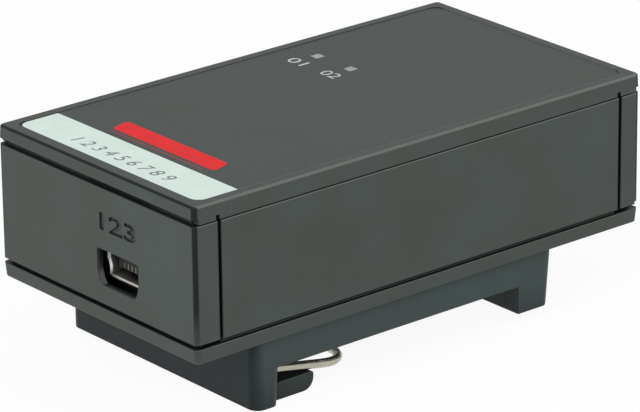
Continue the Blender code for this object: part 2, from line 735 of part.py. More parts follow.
film_low = (FRONT + RECESS_INSET + SMALL_FIT, RECESS_INSET + SMALL_FIT - BOX_W / 2, Z_FILM - FILM_T)
film_high = (REAR - RECESS_INSET - FILM_REAR_FIT, BOX_W / 2 - RECESS_INSET - SMALL_FIT, Z_FILM)
label_film = slab("label_film", film_low, film_high, RECESS_R - SMALL_FIT, FILM_DARK)
label_film.data.materials.append(FILM_PALE)
shape = bmesh.new()
shape.from_mesh(label_film.data)
band_end = film_low[0] + BAND_START + BAND_L
bmesh.ops.bisect_plane(
    shape, geom=shape.verts[:] + shape.edges[:] + shape.faces[:], plane_co=(band_end, 0, 0),
    plane_no=(1, 0, 0), dist=1e-7,
)
for face in shape.faces:
    if face.calc_center_median().x < band_end and face.normal.z > 0.5:
        face.material_index = 1
shape.to_mesh(label_film.data)
shape.free()
cut(label_film, window_holes)

Z_LED_TOP = Z_BOARD + SEAT + LED_SIZE[2] + LED_LENS_H
for number, (x, y) in enumerate(PIPES, 1):
    light_pipe = block(
        f"light_pipe_{number}", (x - PIPE_SIDE / 2, y - PIPE_SIDE / 2, Z_CEILING - SEAT - PIPE_FLANGE_T / 2),
        (x + PIPE_SIDE / 2, y + PIPE_SIDE / 2, Z_FILM), CLEAR_PLASTIC,
    )
    rod_length = Z_CEILING - SEAT - PIPE_FLANGE_T / 2 - Z_LED_TOP - FIT
    pipe_rod = rods(f"pipe_rod_{number}", [(x, y, Z_LED_TOP + FIT)], (0, 0, 1), rod_length, PIPE_ROD_R,
                    helper=True, sides=16)
    flange_half = PIPE_FLANGE / 2
    pipe_flange = block(
        f"pipe_flange_{number}", (x - flange_half, y - flange_half, Z_CEILING - SEAT - PIPE_FLANGE_T),
        (x + flange_half, y + flange_half, Z_CEILING - SEAT), helper=True,
    )
    join(light_pipe, pipe_flange, pipe_rod)


# Circuit board, with holes for the screws and for the plug's pins

PLUG_BODY_X = FLANGE_X - PLUG_FLANGE_T - SEAT
PIN_TAILS = [PLUG_BODY_X - PLUG_BODY_L - PIN_CLEAR - row * PIN_ROWS for row in range(2)]
PINS = [(-2 * PIN_PITCH + i * PIN_PITCH, Z_PLUG + PIN_ROWS / 2, PIN_TAILS[1]) for i in range(5)]
PINS += [(-1.5 * PIN_PITCH + i * PIN_PITCH, Z_PLUG - PIN_ROWS / 2, PIN_TAILS[0]) for i in range(4)]

circuit_board = slab(
    "circuit_board", (BOARD_FRONT, -BOARD_HALF, Z_BOARD_LOW), (BOARD_REAR, BOARD_HALF, Z_BOARD),
    BOARD_CORNER_R, BOARD_GREEN,
)
board_screw_holes = rods(
    "board_screw_holes", [(x, y, Z_BOARD_LOW - OVER) for x in SCREW_X for y in SCREW_Y], (0, 0, 1),
    BOARD_T + 2 * OVER, SCREW_R + FIT, helper=True, sides=16,
)
board_pin_holes = rods(
    "board_pin_holes", [(x, y, Z_BOARD_LOW - OVER) for y, _, x in PINS], (0, 0, 1), BOARD_T + 2 * OVER,
    PIN_R + SMALL_FIT, helper=True, sides=12,
)
cut(circuit_board, board_screw_holes, board_pin_holes)


# USB socket: shell, insulator with its tongue, and five blade contacts

def usb_outline(grow=0.0):
    half, waist = USB_W / 2 + grow, USB_WAIST / 2 + grow
    top, low = USB_H / 2 + grow, -USB_H / 2 - grow
    shoulder = USB_H / 2 - USB_UPPER_H
    points = [(-half, top), (half, top), (half, shoulder), (waist, shoulder - USB_STEP_H), (waist, low),
              (-waist, low), (-waist, shoulder - USB_STEP_H), (-half, shoulder)]
    corner = USB_R + grow
    return rounded(points, [corner, corner, 0, 0, corner, corner, 0, 0], 3)


USB_X = FRONT + USB_FRONT
USB_BACK = USB_X + USB_L
usb_middle = facing_x((USB_X + USB_BACK) / 2, USB_Y, Z_USB)
usb_shell = outline_prism("usb_shell", usb_outline(), usb_middle, USB_L, TINNED_STEEL)
usb_hollow = outline_prism("usb_hollow", usb_outline(-USB_SHELL_T), usb_middle, USB_L + 2 * OVER, helper=True)
leg_low = Z_USB - USB_H / 2 - CONTACT_FIT
usb_legs = blocks(
    "usb_legs",
    [((x, min(y0, y1), leg_low), (x + USB_LEG_L, max(y0, y1), leg_low + USB_SHELL_T))
     for x in (USB_X + USB_LEG_FRONT, USB_BACK - USB_LEG_REAR)
     for y0, y1 in ((USB_Y - USB_WAIST / 2 + USB_R, USB_Y - USB_W / 2 - USB_LEG_REACH),
                    (USB_Y + USB_WAIST / 2 - USB_R, USB_Y + USB_W / 2 + USB_LEG_REACH))],
    helper=True,
)
cut(usb_shell, usb_hollow)
join(usb_shell, usb_legs)

TONGUE_FACE = USB_X + USB_TONGUE_SET
tongue_z = Z_USB + USB_TONGUE_LIFT
usb_insulator = outline_prism(
    "usb_insulator", usb_outline(-USB_SHELL_T - CONTACT_FIT),
    facing_x(USB_BACK - USB_BACK_L / 2, USB_Y, Z_USB), USB_BACK_L, BLACK_RESIN,
)
usb_tongue = block(
    "usb_tongue", (TONGUE_FACE, USB_Y - USB_TONGUE_W / 2, tongue_z - USB_TONGUE_T / 2),
    (USB_BACK - USB_BACK_L / 2, USB_Y + USB_TONGUE_W / 2, tongue_z + USB_TONGUE_T / 2), helper=True,
)
CONTACTS = [USB_Y + (i - (CONTACT_COUNT - 1) / 2) * CONTACT_PITCH for i in range(CONTACT_COUNT)]
blade_low = tongue_z - USB_TONGUE_T / 2 + CONTACT_FIT
contact_slots = blocks(
    "contact_slots",
    [((TONGUE_FACE - OVER, y - CONTACT_W / 2 - CONTACT_FIT, blade_low - 3 * CONTACT_FIT),
      (USB_BACK + OVER, y + CONTACT_W / 2 + CONTACT_FIT, blade_low + CONTACT_H + CONTACT_FIT))
     for y in CONTACTS],
    helper=True,
)
join(usb_insulator, usb_tongue)
cut(usb_insulator, contact_slots)

foot_low = Z_BOARD + SEAT
foot_high = foot_low + CONTACT_TAIL_H
blade_x = (TONGUE_FACE + CONTACT_FIT, USB_BACK + SMALL_FIT, USB_BACK + SMALL_FIT + CONTACT_W)
contact_points = [
    (blade_x[0], blade_low), (blade_x[0], blade_low + CONTACT_H), (blade_x[2], blade_low + CONTACT_H),
    (blade_x[2], foot_high), (blade_x[2] + CONTACT_TAIL, foot_high), (blade_x[2] + CONTACT_TAIL, foot_low),
    (blade_x[1], foot_low), (blade_x[1], blade_low),
]
for number, y in enumerate(CONTACTS, 1):
    outline_prism(f"usb_contact_{number}", contact_points, facing_y(0, y, 0), CONTACT_W, GOLD_PLATE)


# Serial plug: metal shell with its flange, insulator, nine bent pins, brackets and jack screws

flange_half_w, flange_half_h = PLUG_FLANGE_W / 2, PLUG_FLANGE_H / 2
flange_points = [(-flange_half_w, -flange_half_h), (flange_half_w, -flange_half_h),
                 (flange_half_w, flange_half_h), (-flange_half_w, flange_half_h)]
serial_shell = outline_prism(
    "serial_shell", rounded(flange_points, [PLUG_FLANGE_R] * 4), facing_x(FLANGE_X - PLUG_FLANGE_T / 2, 0, Z_PLUG),
    PLUG_FLANGE_T, ZINC_STEEL,
)
d_start = FLANGE_X - PLUG_FLANGE_T / 2
d_middle = facing_x((d_start + FLANGE_X + PLUG_REACH) / 2, 0, Z_PLUG)
d_length = FLANGE_X + PLUG_REACH - d_start
shell_d = outline_prism(
    "shell_d", d_outline(PLUG_D_W, PLUG_D_H, PLUG_D_R, PLUG_D_T), d_middle, d_length, helper=True,
)
shell_hole = outline_prism(
    "shell_hole", d_outline(PLUG_D_W, PLUG_D_H, PLUG_D_R), d_middle, d_length + 4 * OVER, helper=True,
)
flange_holes = rods(
    "flange_holes", [(FLANGE_X - PLUG_FLANGE_T - OVER, y, z) for y, z in JACKS], (1, 0, 0),
    PLUG_FLANGE_T + 2 * OVER, JACK_STUD_R + PLUG_HOLE_FIT, helper=True, sides=20,
)
join(serial_shell, shell_d)
cut(serial_shell, shell_hole, flange_holes)

face_x = FLANGE_X + PLUG_FACE
nose_x = PLUG_BODY_X - PLUG_BODY_L / 2
serial_insulator = block(
    "serial_insulator", (PLUG_BODY_X - PLUG_BODY_L, -PLUG_BODY_W / 2, Z_BOARD + SEAT),
    (PLUG_BODY_X, PLUG_BODY_W / 2, Z_BOARD + SEAT + PLUG_BODY_H), BLACK_RESIN,
)
insulator_nose = outline_prism(
    "insulator_nose", d_outline(PLUG_D_W, PLUG_D_H, PLUG_D_R, -SMALL_FIT), facing_x((nose_x + face_x) / 2, 0, Z_PLUG),
    face_x - nose_x, helper=True,
)
pin_tunnels = rods(
    "pin_tunnels", [(PLUG_BODY_X - PLUG_BODY_L - OVER, y, z) for y, z, _ in PINS], (1, 0, 0),
    face_x - PLUG_BODY_X + PLUG_BODY_L + 2 * OVER, PIN_R + CONTACT_FIT, helper=True, sides=16,
)
join(serial_insulator, insulator_nose)
cut(serial_insulator, pin_tunnels)


def wire_mesh(name, points, radius, look, resolution=2):
    """A round wire through points, as a tube with capped ends."""
    curve = bpy.data.curves.new(name, "CURVE")
    curve.dimensions = "3D"
    curve.bevel_depth = radius
    curve.bevel_resolution = resolution
    curve.use_fill_caps = True
    spline = curve.splines.new("POLY")
    spline.points.add(len(points) - 1)
    for point, place in zip(spline.points, points):
        point.co = (*place, 1.0)
    return curve_mesh(name, curve, Matrix.Identity(4), look)


for number, (y, z, tail_x) in enumerate(PINS, 1):
    bend = [
        (tail_x + PIN_BEND_R - PIN_BEND_R * math.sin(turn), y, z - PIN_BEND_R + PIN_BEND_R * math.cos(turn))
        for turn in (math.radians(step * 22.5) for step in range(5))
    ]
    path = [(FLANGE_X + PIN_TIP, y, z), *bend, (tail_x, y, Z_BOARD_LOW - PIN_STUB)]
    wire_mesh(f"serial_pin_{number}", path, PIN_R, GOLD_PLATE)

bracket_x = PLUG_BODY_X
bracket_points = [
    (bracket_x, Z_BOARD + SEAT), (bracket_x, Z_PLUG + BRACKET_RISE),
    (bracket_x - BRACKET_T, Z_PLUG + BRACKET_RISE), (bracket_x - BRACKET_T, Z_BOARD + SEAT + BRACKET_T),
    (bracket_x - BRACKET_FOOT, Z_BOARD + SEAT + BRACKET_T), (bracket_x - BRACKET_FOOT, Z_BOARD + SEAT),
]
stud_start = bracket_x - BRACKET_T - OVER
for number, (y, z) in enumerate(JACKS, 1):
    bracket = outline_prism(f"plug_bracket_{number}", bracket_points, facing_y(0, y, 0), BRACKET_W, ZINC_STEEL)
    bracket_hole = rods(f"bracket_hole_{number}", [(stud_start - OVER, y, z)], (1, 0, 0), BRACKET_T + 3 * OVER,
                        JACK_STUD_R + SMALL_FIT, helper=True, sides=20)
    cut(bracket, bracket_hole)
    shape = bmesh.new()
    hex_start = BODY_REAR + SEAT
    add_rod(shape, (hex_start, y, z), (1, 0, 0), JACK_L - SEAT, JACK_AF / 2 / math.cos(math.radians(30)),
            sides=6, turn=math.radians(30))
    round_edges(shape, [e for e in shape.edges if min(v.co.x for v in e.verts) > hex_start + OVER], JACK_EDGE, 1)
    jack = from_bmesh(f"jack_screw_{number}", shape, ZINC_STEEL)
    stud = rods(f"jack_stud_{number}", [(stud_start, y, z)], (1, 0, 0), hex_start + OVER - stud_start, JACK_STUD_R,
                helper=True, sides=20)
    bore = rods(f"jack_bore_{number}", [(BODY_REAR + JACK_L - JACK_BORE_D, y, z)], (1, 0, 0), JACK_BORE_D + OVER,
                JACK_BORE_R, helper=True, sides=20)
    join(jack, stud)
    cut(jack, bore)


# Chips and small components on the board

Z_PART = Z_BOARD + SEAT


def component(name, place, size, look, lift=0.0, edge=CHIP_EDGE):
    """A small box part standing on the board, with a bevel round its top."""
    x, y = place
    half = [value / 2 for value in size]
    return slab(
        name, (x - half[0], y - half[1], Z_PART + lift), (x + half[0], y + half[1], Z_PART + size[2]), 0, look,
        top_r=edge, corners=1,
    )


def leaded_chip(name, place, size, count, pitch, span):
    x, y = place
    chip = component(name, place, size, BLACK_RESIN, lift=LEAD_T / 2)
    start = x - (count - 1) * pitch / 2
    leads = blocks(
        name + "_leads",
        [((start + i * pitch - LEAD_W / 2, y - span / 2, Z_PART),
          (start + i * pitch + LEAD_W / 2, y + span / 2, Z_PART + LEAD_T)) for i in range(count)],
        helper=True,
    )
    join(chip, leads)
    return chip


leaded_chip("usb_bridge_chip", on_board(*BRIDGE_AT), BRIDGE_SIZE, BRIDGE_LEAD_COUNT, BRIDGE_PITCH, BRIDGE_SPAN)
leaded_chip("line_driver_chip", on_board(*DRIVER_AT), DRIVER_SIZE, DRIVER_LEAD_COUNT, DRIVER_PITCH, DRIVER_SPAN)

crystal_x, crystal_y = on_board(*CRYSTAL_AT)
crystal = slab(
    "crystal", (crystal_x - CRYSTAL_SIZE[0] / 2, crystal_y - CRYSTAL_SIZE[1] / 2, Z_PART),
    (crystal_x + CRYSTAL_SIZE[0] / 2, crystal_y + CRYSTAL_SIZE[1] / 2, Z_PART + CRYSTAL_SIZE[2]),
    CRYSTAL_SIZE[1] * 0.45, CAN_ALUMINIUM, top_r=2 * CHIP_EDGE,
)

for number, at in enumerate(CANS_AT, 1):
    place = on_board(*at)
    can = component(f"electrolytic_capacitor_{number}", place, (CAN_BASE, CAN_BASE, CAN_BASE_H), CAN_ALUMINIUM)
    body = rods(f"can_{number}", [(*place, Z_PART + CAN_BASE_H / 2)], (0, 0, 1),
                CAN_H - CAN_BASE_H / 2, CAN_R, helper=True)
    join(can, body)

for number, at in enumerate(CERAMICS_AT, 1):
    component(f"ceramic_capacitor_{number}", on_board(*at), CERAMIC_SIZE, CERAMIC_TAN, edge=CHIP_EDGE / 2)

resistor_places = [on_board(*at) for at in RESISTORS_AT] + [(PIPES[0][0] - LED_RESISTOR_BACK, PIPES[0][1])]
for number, place in enumerate(resistor_places, 1):
    component(f"resistor_{number}", place, RESISTOR_SIZE, BLACK_RESIN, edge=CHIP_EDGE / 2)

component("ferrite_bead", on_board(*FERRITE_AT), FERRITE_SIZE, FERRITE_GREY)

for number, (x, y) in enumerate(PIPES, 1):
    led = component(f"led_{number}", (x, y), LED_SIZE, LED_WHITE, edge=CHIP_EDGE / 2)
    shape = bmesh.new()
    add_rod(shape, (x, y, Z_PART + LED_SIZE[2] / 2), (0, 0, 1), LED_SIZE[2] / 2 + LED_LENS_H, LED_LENS_R,
            tip=LED_LENS_R * 0.7, sides=16)
    lens = from_bmesh(f"led_lens_{number}", shape, helper=True)
    join(led, lens)


# Screws, driven from below

def screw(name, x, y, z_head, length):
    """A pan-headed screw with its head down, a cross drive and a pointed end."""
    shape = bmesh.new()
    add_rod(shape, (x, y, z_head), (0, 0, 1), SCREW_HEAD_H, SCREW_HEAD_R)
    made = from_bmesh(name, shape, ZINC_STEEL)
    tip = SCREW_R * 1.2
    shape = bmesh.new()
    add_rod(shape, (x, y, z_head + SCREW_HEAD_H / 2), (0, 0, 1), SCREW_HEAD_H / 2 + length - tip, SCREW_R, sides=16)
    shank = from_bmesh(name + "_shank", shape, helper=True)
    shape = bmesh.new()
    add_rod(shape, (x, y, z_head + SCREW_HEAD_H + length - tip - tip / 2), (0, 0, 1), tip * 1.5, SCREW_R * 1.0,
            tip=SCREW_R * 0.3, sides=16)
    bmesh.ops.scale(shape, vec=(0.98, 0.98, 1.0), verts=shape.verts[:], space=Matrix.Translation((-x, -y, 0)))
    point = from_bmesh(name + "_point", shape, helper=True)
    drive = blocks(
        name + "_drive",
        [((x - DRIVE_L / 2, y - DRIVE_W / 2, z_head - OVER), (x + DRIVE_L / 2, y + DRIVE_W / 2, z_head + DRIVE_D))],
        helper=True,
    )
    cross = blocks(
        name + "_cross",
        [((x - DRIVE_W / 2, y - DRIVE_L / 2, z_head - OVER), (x + DRIVE_W / 2, y + DRIVE_L / 2, z_head + DRIVE_D))],
        helper=True,
    )
    join(made, shank, point)
    cut(made, drive, cross)
    return made


for number, (x, y) in enumerate([(x, y) for x in SCREW_X for y in SCREW_Y], 1):
    screw(f"case_screw_{number}", x, y, Z_HEAD, SCREW_L)


# Rail holder: plate, front block with its lip, rear foot with a hook, cored underneath

def flat(x, y, z):
    return Matrix.Translation((x, y, z))


def bevel_rim(obj, z, radius, segments=2):
    """Rounds the edges of a mesh that lie at one height."""
    shape = bmesh.new()
    shape.from_mesh(obj.data)
    rim = [e for e in shape.edges if all(abs(v.co.z - z) < 1e-7 for v in e.verts) and len(e.link_faces) == 2]
    rim = [e for e in rim if e.calc_face_angle(0.0) > 0.5]
    round_edges(shape, rim, radius, segments)
    shape.to_mesh(obj.data)
    shape.free()


def holder_outline(x_low, x_high, front_r, rear_r):
    half = HOLDER_W / 2
    points = [(x_low, -half), (x_high, -half), (x_high, half), (x_low, half)]
    return rounded(points, [front_r, rear_r, rear_r, front_r], 5)


Z_FOOT = Z_PLATE - FOOT_H
HOLDER_TOP = Z_BASE - SEAT
rail_holder = outline_prism(
    "rail_holder", holder_outline(HOLDER_X, HOLDER_END, HOLDER_R, HOLDER_REAR_R),
    flat(0, 0, (Z_FOOT + HOLDER_TOP) / 2), HOLDER_TOP - Z_FOOT, HOLDER_PLASTIC,
)
for vert in rail_holder.data.vertices:
    if vert.co.z < Z_PLATE and vert.co.x > HOLDER_END - 2 * HOLDER_REAR_R:
        vert.co.x -= FOOT_DRAFT
rail_channel_points = [
    (HOLDER_X - OVER, Z_PLATE), (HOLDER_X - OVER, Z_FOOT - OVER), (FOOT_X, Z_FOOT - OVER), (FOOT_X, Z_PLATE),
]
rail_channel = outline_prism(
    "rail_channel", rail_channel_points, facing_y(0, 0, 0), HOLDER_W + 2 * OVER, helper=True,
)
foot_end = HOLDER_END - FOOT_DRAFT
heel_points = [(foot_end + OVER, Z_FOOT - OVER), (foot_end - FOOT_R, Z_FOOT - OVER)]
for step in range(6):
    turn = math.radians(step * 18)
    heel_points.append((foot_end - FOOT_R + FOOT_R * math.sin(turn), Z_FOOT + FOOT_R - FOOT_R * math.cos(turn)))
heel_points.append((foot_end + OVER, Z_FOOT + FOOT_R))
heel = outline_prism("heel", heel_points, facing_y(0, 0, 0), HOLDER_W + 2 * OVER, helper=True)
cut(rail_holder, rail_channel, heel)
front_block = outline_prism(
    "front_block", holder_outline(HOLDER_X, BLOCK_END, HOLDER_R, BLOCK_CORNER_R),
    flat(0, 0, (HOLDER_TOP - OVER) / 2), HOLDER_TOP - OVER, helper=True,
)
for vert in front_block.data.vertices:
    if vert.co.z < OVER and vert.co.x > (HOLDER_X + BLOCK_END) / 2:
        vert.co.x -= BLOCK_DRAFT
bevel_rim(front_block, 0.0, BLOCK_EDGE_R)
lip_points = [
    (BLOCK_END - OVER, LIP_RISE), (BLOCK_END + LIP_L, LIP_RISE), (BLOCK_END + LIP_L, LIP_RISE + LIP_T),
    (BLOCK_END - OVER, LIP_RISE + LIP_T),
]
lip = outline_prism(
    "lip", rounded(lip_points, [0, LIP_R, LIP_TIP_R, 0], 5), facing_y(0, 0, 0), HOLDER_W - 2 * LIP_SET, helper=True,
)
hook_points = [
    (FOOT_X + OVER, Z_FOOT + BLOCK_EDGE_R), (FOOT_X - HOOK_L / 2, Z_FOOT + BLOCK_EDGE_R),
    (FOOT_X - HOOK_L, Z_FOOT + HOOK_T - BLOCK_EDGE_R), (FOOT_X - HOOK_L, Z_FOOT + HOOK_T),
    (FOOT_X + OVER, Z_FOOT + HOOK_T),
]
hook = outline_prism("hook", hook_points, facing_y(0, 0, 0), HOOK_W, helper=True)
join(rail_holder, front_block, lip, hook)

core_start = BLOCK_END + CORE_FRONT
core_step = (FOOT_X - CORE_REAR - core_start + CORE_RIB) / CORE_COLUMN_COUNT
core_outer = HOLDER_W / 2 - CORE_SIDE
cores = []
for column in range(CORE_COLUMN_COUNT):
    core_x = core_start + column * core_step
    for y_low, y_high in ((CORE_INNER, core_outer), (-core_outer, -CORE_INNER)):
        cores.append(((core_x, y_low, Z_PLATE - OVER), (core_x + core_step - CORE_RIB, y_high, Z_PLATE + CORE_D)))
core_pockets = blocks("core_pockets", cores, helper=True)
HOLDER_HEAD = Z_PLATE + SCREW_SINK
holder_wells = rods(
    "holder_wells", [(x, y, Z_PLATE - OVER) for x, y in HOLDER_SCREWS], (0, 0, 1),
    SCREW_SINK + SCREW_HEAD_H + SCREW_FIT + OVER, SCREW_HEAD_R + SCREW_FIT, helper=True,
)
holder_holes = rods(
    "holder_holes", [(x, y, Z_PLATE - OVER) for x, y in HOLDER_SCREWS], (0, 0, 1), PLATE_T + 2 * OVER,
    SCREW_R + SCREW_FIT, helper=True, sides=16,
)
cut(rail_holder, core_pockets, holder_wells, holder_holes)
for number, (x, y) in enumerate(HOLDER_SCREWS, 1):
    screw(f"holder_screw_{number}", x, y, HOLDER_HEAD, HOLDER_SCREW_L)


# Spring wire: a U whose legs slope down out of the block, over the lip, to a bar across the rail

WIRE_SLOPE = (WIRE_DROP_END - WIRE_DROP_ROOT) / WIRE_REACH
BAR_X = BLOCK_END + WIRE_REACH


def wire_point(x, y):
    return (x, y, Z_PLATE - WIRE_DROP_ROOT - WIRE_SLOPE * (x - BLOCK_END))


leg_y = HOLDER_W / 2 - WIRE_SET
half_path = [wire_point(BLOCK_END - WIRE_BITE, -leg_y)]
for step in range(8):
    turn = math.radians(step * 90 / 7)
    half_path.append(wire_point(
        BAR_X - WIRE_BEND_R + WIRE_BEND_R * math.sin(turn), -leg_y + WIRE_BEND_R - WIRE_BEND_R * math.cos(turn),
    ))
wire_path = half_path + [(x, -y, z) for x, y, z in reversed(half_path)]
wire_mesh("spring_wire", wire_path, WIRE_R, SPRING_STEEL, resolution=4)

leg_direction = Vector((1, 0, -WIRE_SLOPE)).normalized()
wire_holes = rods(
    "wire_holes",
    [Vector(wire_point(BLOCK_END - WIRE_BITE - FIT, y)) for y in (-leg_y, leg_y)], leg_direction,
    WIRE_BITE + FIT + OVER, WIRE_R + WIRE_FIT, helper=True, sides=16,
)
cut(rail_holder, wire_holes)


# Each piece's Booleans are made final, so that shading follows the edges that they leave

bpy.context.view_layer.update()
graph = bpy.context.evaluated_depsgraph_get()
final = {obj: bpy.data.meshes.new_from_object(obj.evaluated_get(graph)) for obj in PART.objects}
for obj, mesh in final.items():
    obj.modifiers.clear()
    obj.data = mesh
    mesh.name = obj.name
    mesh.shade_smooth()
    mesh.set_sharp_from_angle(angle=math.radians(SHARP_ANGLE))
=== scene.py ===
"""Looks of the USB to serial adapter: finishes, label print, engraved digits, light, floor and camera.

Lengths are in millimetres times MM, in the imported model's frame: +X runs from the USB end to the
serial end, +Z is up, and the block of the rail holder stands on Z = 0.
"""

import json
import math

import bmesh
import bpy
from mathutils import Matrix, Vector


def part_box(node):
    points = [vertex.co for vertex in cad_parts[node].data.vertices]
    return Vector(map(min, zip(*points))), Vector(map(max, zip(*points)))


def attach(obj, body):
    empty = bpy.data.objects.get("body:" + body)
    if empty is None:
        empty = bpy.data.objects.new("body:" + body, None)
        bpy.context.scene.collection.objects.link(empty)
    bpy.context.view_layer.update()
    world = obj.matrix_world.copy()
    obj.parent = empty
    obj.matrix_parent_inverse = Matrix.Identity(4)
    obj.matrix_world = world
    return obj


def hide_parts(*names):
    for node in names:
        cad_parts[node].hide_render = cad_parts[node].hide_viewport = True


MM = 0.001

# Label print, on the film: x runs back from the USB end, y runs across
PRINT_T = 0.02 * MM
BAND_START = 0.35 * MM
BAND_L = 6.6 * MM
BAND_SIDE = 0.15 * MM
BAND_R = 1.5 * MM
PIN_DIGITS = "1 2 3 4 5 6 7 8 9"
PIN_DIGITS_AT = (-36.7 * MM, -0.6 * MM)
PIN_DIGITS_H = 2.0 * MM
PIN_DIGITS_L = 20.6 * MM
DIGIT_SLANT = 0.2
BAR_AT = (-29.2 * MM, -0.7 * MM)
BAR_H = 3.1 * MM
BAR_L = 21.6 * MM
BAR_SLANT = 1.0 * MM
BAR_R = 0.7 * MM
LINE_X = -31.5 * MM
LINE_T = 0.28 * MM
LINE_L = 19.5 * MM
LAMP_DIGITS = ("01", "02")
LAMP_DIGITS_BACK = 3.6 * MM
LAMP_DIGITS_H = 1.9 * MM
LAMP_DIGITS_L = 3.2 * MM

# Digits cut into the front panel over the port
PORT_DIGITS = "123"
PORT_DIGITS_UP = 6.25 * MM
PORT_DIGITS_ASIDE = -0.2 * MM
PORT_DIGITS_H = 2.4 * MM
PORT_DIGITS_L = 7.6 * MM
PORT_DIGITS_D = 0.22 * MM
PORT_DIGITS_BOLD = 0.018

# Lip of the USB shell: how far it flares, how far back it starts, the radius of its edges, and how
# fast the flare grows away from the middle (3: full at a third of the shell's width)
LIP_FLARE = 0.34 * MM
LIP_L = 0.12 * MM
LIP_R = 0.11 * MM
LIP_STEEP = 3

# How far an edge is rounded in the shading, how near two points are welded, how sharp an edge stays
# sharp, and how flat two faces are joined
EDGE_R = 0.18 * MM
WELD = 0.0005 * MM
SHARP_ANGLE = math.radians(35)
FLAT_ANGLE = math.radians(0.2)

# Painted edges: where the lid's front edge lies; the heights between which a painted dark reflection
# on upright corners grows; and, for edges along X, which get a painted highlight, and for the others,
# which get a painted dark reflection, how far the rounded normal turns where the paint starts and
# where it is full
FRONT_EDGE_X = -40.9 * MM
CORNER_FADE = (9.5 * MM, 17 * MM)
LONG_EDGE = (0.05, 0.3)
OTHER_EDGE = (0.03, 0.2)

# A line painted pale along the wall's upper edge, under the lid, as a painted highlight: its height
SEAM_HIGHLIGHT_H = 0.14 * MM

# Painted shade in grooves and holes: how open a place is where it is darkest and where it is clear, and how
# dark it gets
OPENNESS = (0.3, 0.9)
HOLLOW_SHADE_DARK = 0.93

# Painted shade inside the port: how wide it is each way from its middle, and how fast it darkens inwards
PIT_HALF_W = 6.5 * MM
PIT_FADE = 0.3 * MM

# Ranges of a noise: its middle, its high specks, its low pits, the thin spots of a print, and all of it
MIDDLE = (0.3, 0.7)
SPECKS = (0.58, 0.72)
PITS = (0.30, 0.42)
THIN_SPOTS = (0.28, 0.42)
FULL = (0.0, 1.0)

# Floor, in metres: half its width, how far back it bends up, the bend's radius and steps, and its top
FLOOR_HALF = 3.0
FLOOR_BACK = 1.2
FLOOR_BEND = 0.8
FLOOR_BEND_STEPS = 10
FLOOR_TOP = 2.0

# Light: the world's strength as light and as seen, how far the floor fades to white for the camera,
# and the soft boxes' places, sizes and powers
WORLD_LIGHT = 0.6
WORLD_SEEN = 1.0
FLOOR_SEEN = 0.93
LAMPS = {
    "key_lamp": ((-1.0, -0.3, 0.65), 0.7, 9.0),
    "side_lamp": ((0.25, -1.15, 0.3), 0.7, 2.5),
    "edge_lamp": ((0.66, -0.40, 0.80), 0.5, 1.5),
    "back_lamp": ((1.15, -0.1, 0.3), 0.6, 3.0),
}

# Camera, for an image of 640 x 412
IMAGE_W, IMAGE_H = 640, 412
SENSOR_W = 36.0
FOCAL_PX = 4481.3
CAMERA_AZ, CAMERA_EL, CAMERA_ROLL = (math.radians(a) for a in (-39.528, 20.986, -0.722))
CAMERA_DISTANCE = 607.58 * MM
TARGET = Vector((-1.3, 0.0, 19.4)) * MM
TARGET_PX = (330.848, 179.505)

scene = bpy.context.scene
for leftover in [o for o in bpy.data.objects if o.type in ("MESH", "LIGHT", "CAMERA")]:
    bpy.data.objects.remove(leftover, do_unlink=True)

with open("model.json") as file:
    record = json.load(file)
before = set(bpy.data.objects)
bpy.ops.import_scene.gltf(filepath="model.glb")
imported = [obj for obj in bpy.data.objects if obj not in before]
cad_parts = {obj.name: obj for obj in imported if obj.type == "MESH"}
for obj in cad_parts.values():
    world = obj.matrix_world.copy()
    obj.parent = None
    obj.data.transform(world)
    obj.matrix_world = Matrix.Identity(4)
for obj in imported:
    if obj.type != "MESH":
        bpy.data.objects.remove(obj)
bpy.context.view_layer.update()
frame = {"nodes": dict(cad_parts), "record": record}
NODES = frame["nodes"]


# Shader nodes, in object coordinates, which are the part's own metres

def new_material(name):
    made = bpy.data.materials.new(name)
    made.use_nodes = True
    tree = made.node_tree
    tree.nodes.clear()
    output = tree.nodes.new("ShaderNodeOutputMaterial")
    shader = tree.nodes.new("ShaderNodeBsdfPrincipled")
    tree.links.new(shader.outputs["BSDF"], output.inputs["Surface"])
    return made, tree, shader


def place_on(tree):
    return tree.nodes.new("ShaderNodeTexCoord").outputs["Object"]


def noise(tree, where, size, detail=2.0, roughness=0.5, stretch=(1, 1, 1)):
    """Noise whose blobs are about this many metres across."""
    node = tree.nodes.new("ShaderNodeTexNoise")
    node.inputs["Scale"].default_value = 1.0 / size
    node.inputs["Detail"].default_value = detail
    node.inputs["Roughness"].default_value = roughness
    scaled = tree.nodes.new("ShaderNodeMapping")
    scaled.inputs["Scale"].default_value = stretch
    tree.links.new(where, scaled.inputs["Vector"])
    tree.links.new(scaled.outputs["Vector"], node.inputs["Vector"])
    return node.outputs["Fac"]


def spread(tree, value, low, high, span=MIDDLE):
    """Maps a value's span, from its first end to its second, to low..high."""
    node = tree.nodes.new("ShaderNodeMapRange")
    for name, number in (("From Min", span[0]), ("From Max", span[1]), ("To Min", low), ("To Max", high)):
        node.inputs[name].default_value = number
    tree.links.new(value, node.inputs["Value"])
    return node.outputs["Result"]


def mixed(tree, amount, first, second):
    """The first colour where amount is 0, and the second where it is 1."""
    node = tree.nodes.new("ShaderNodeMix")
    node.data_type = "RGBA"
    tree.links.new(amount, node.inputs[0])
    for socket, color in ((node.inputs[6], first), (node.inputs[7], second)):
        if isinstance(color, tuple):
            socket.default_value = (*color, 1.0)
        else:
            tree.links.new(color, socket)
    return node.outputs[2]


def round_normal(tree, radius=EDGE_R):
    node = tree.nodes.new("ShaderNodeBevel")
    node.samples = 6
    node.inputs["Radius"].default_value = radius
    return node.outputs["Normal"]


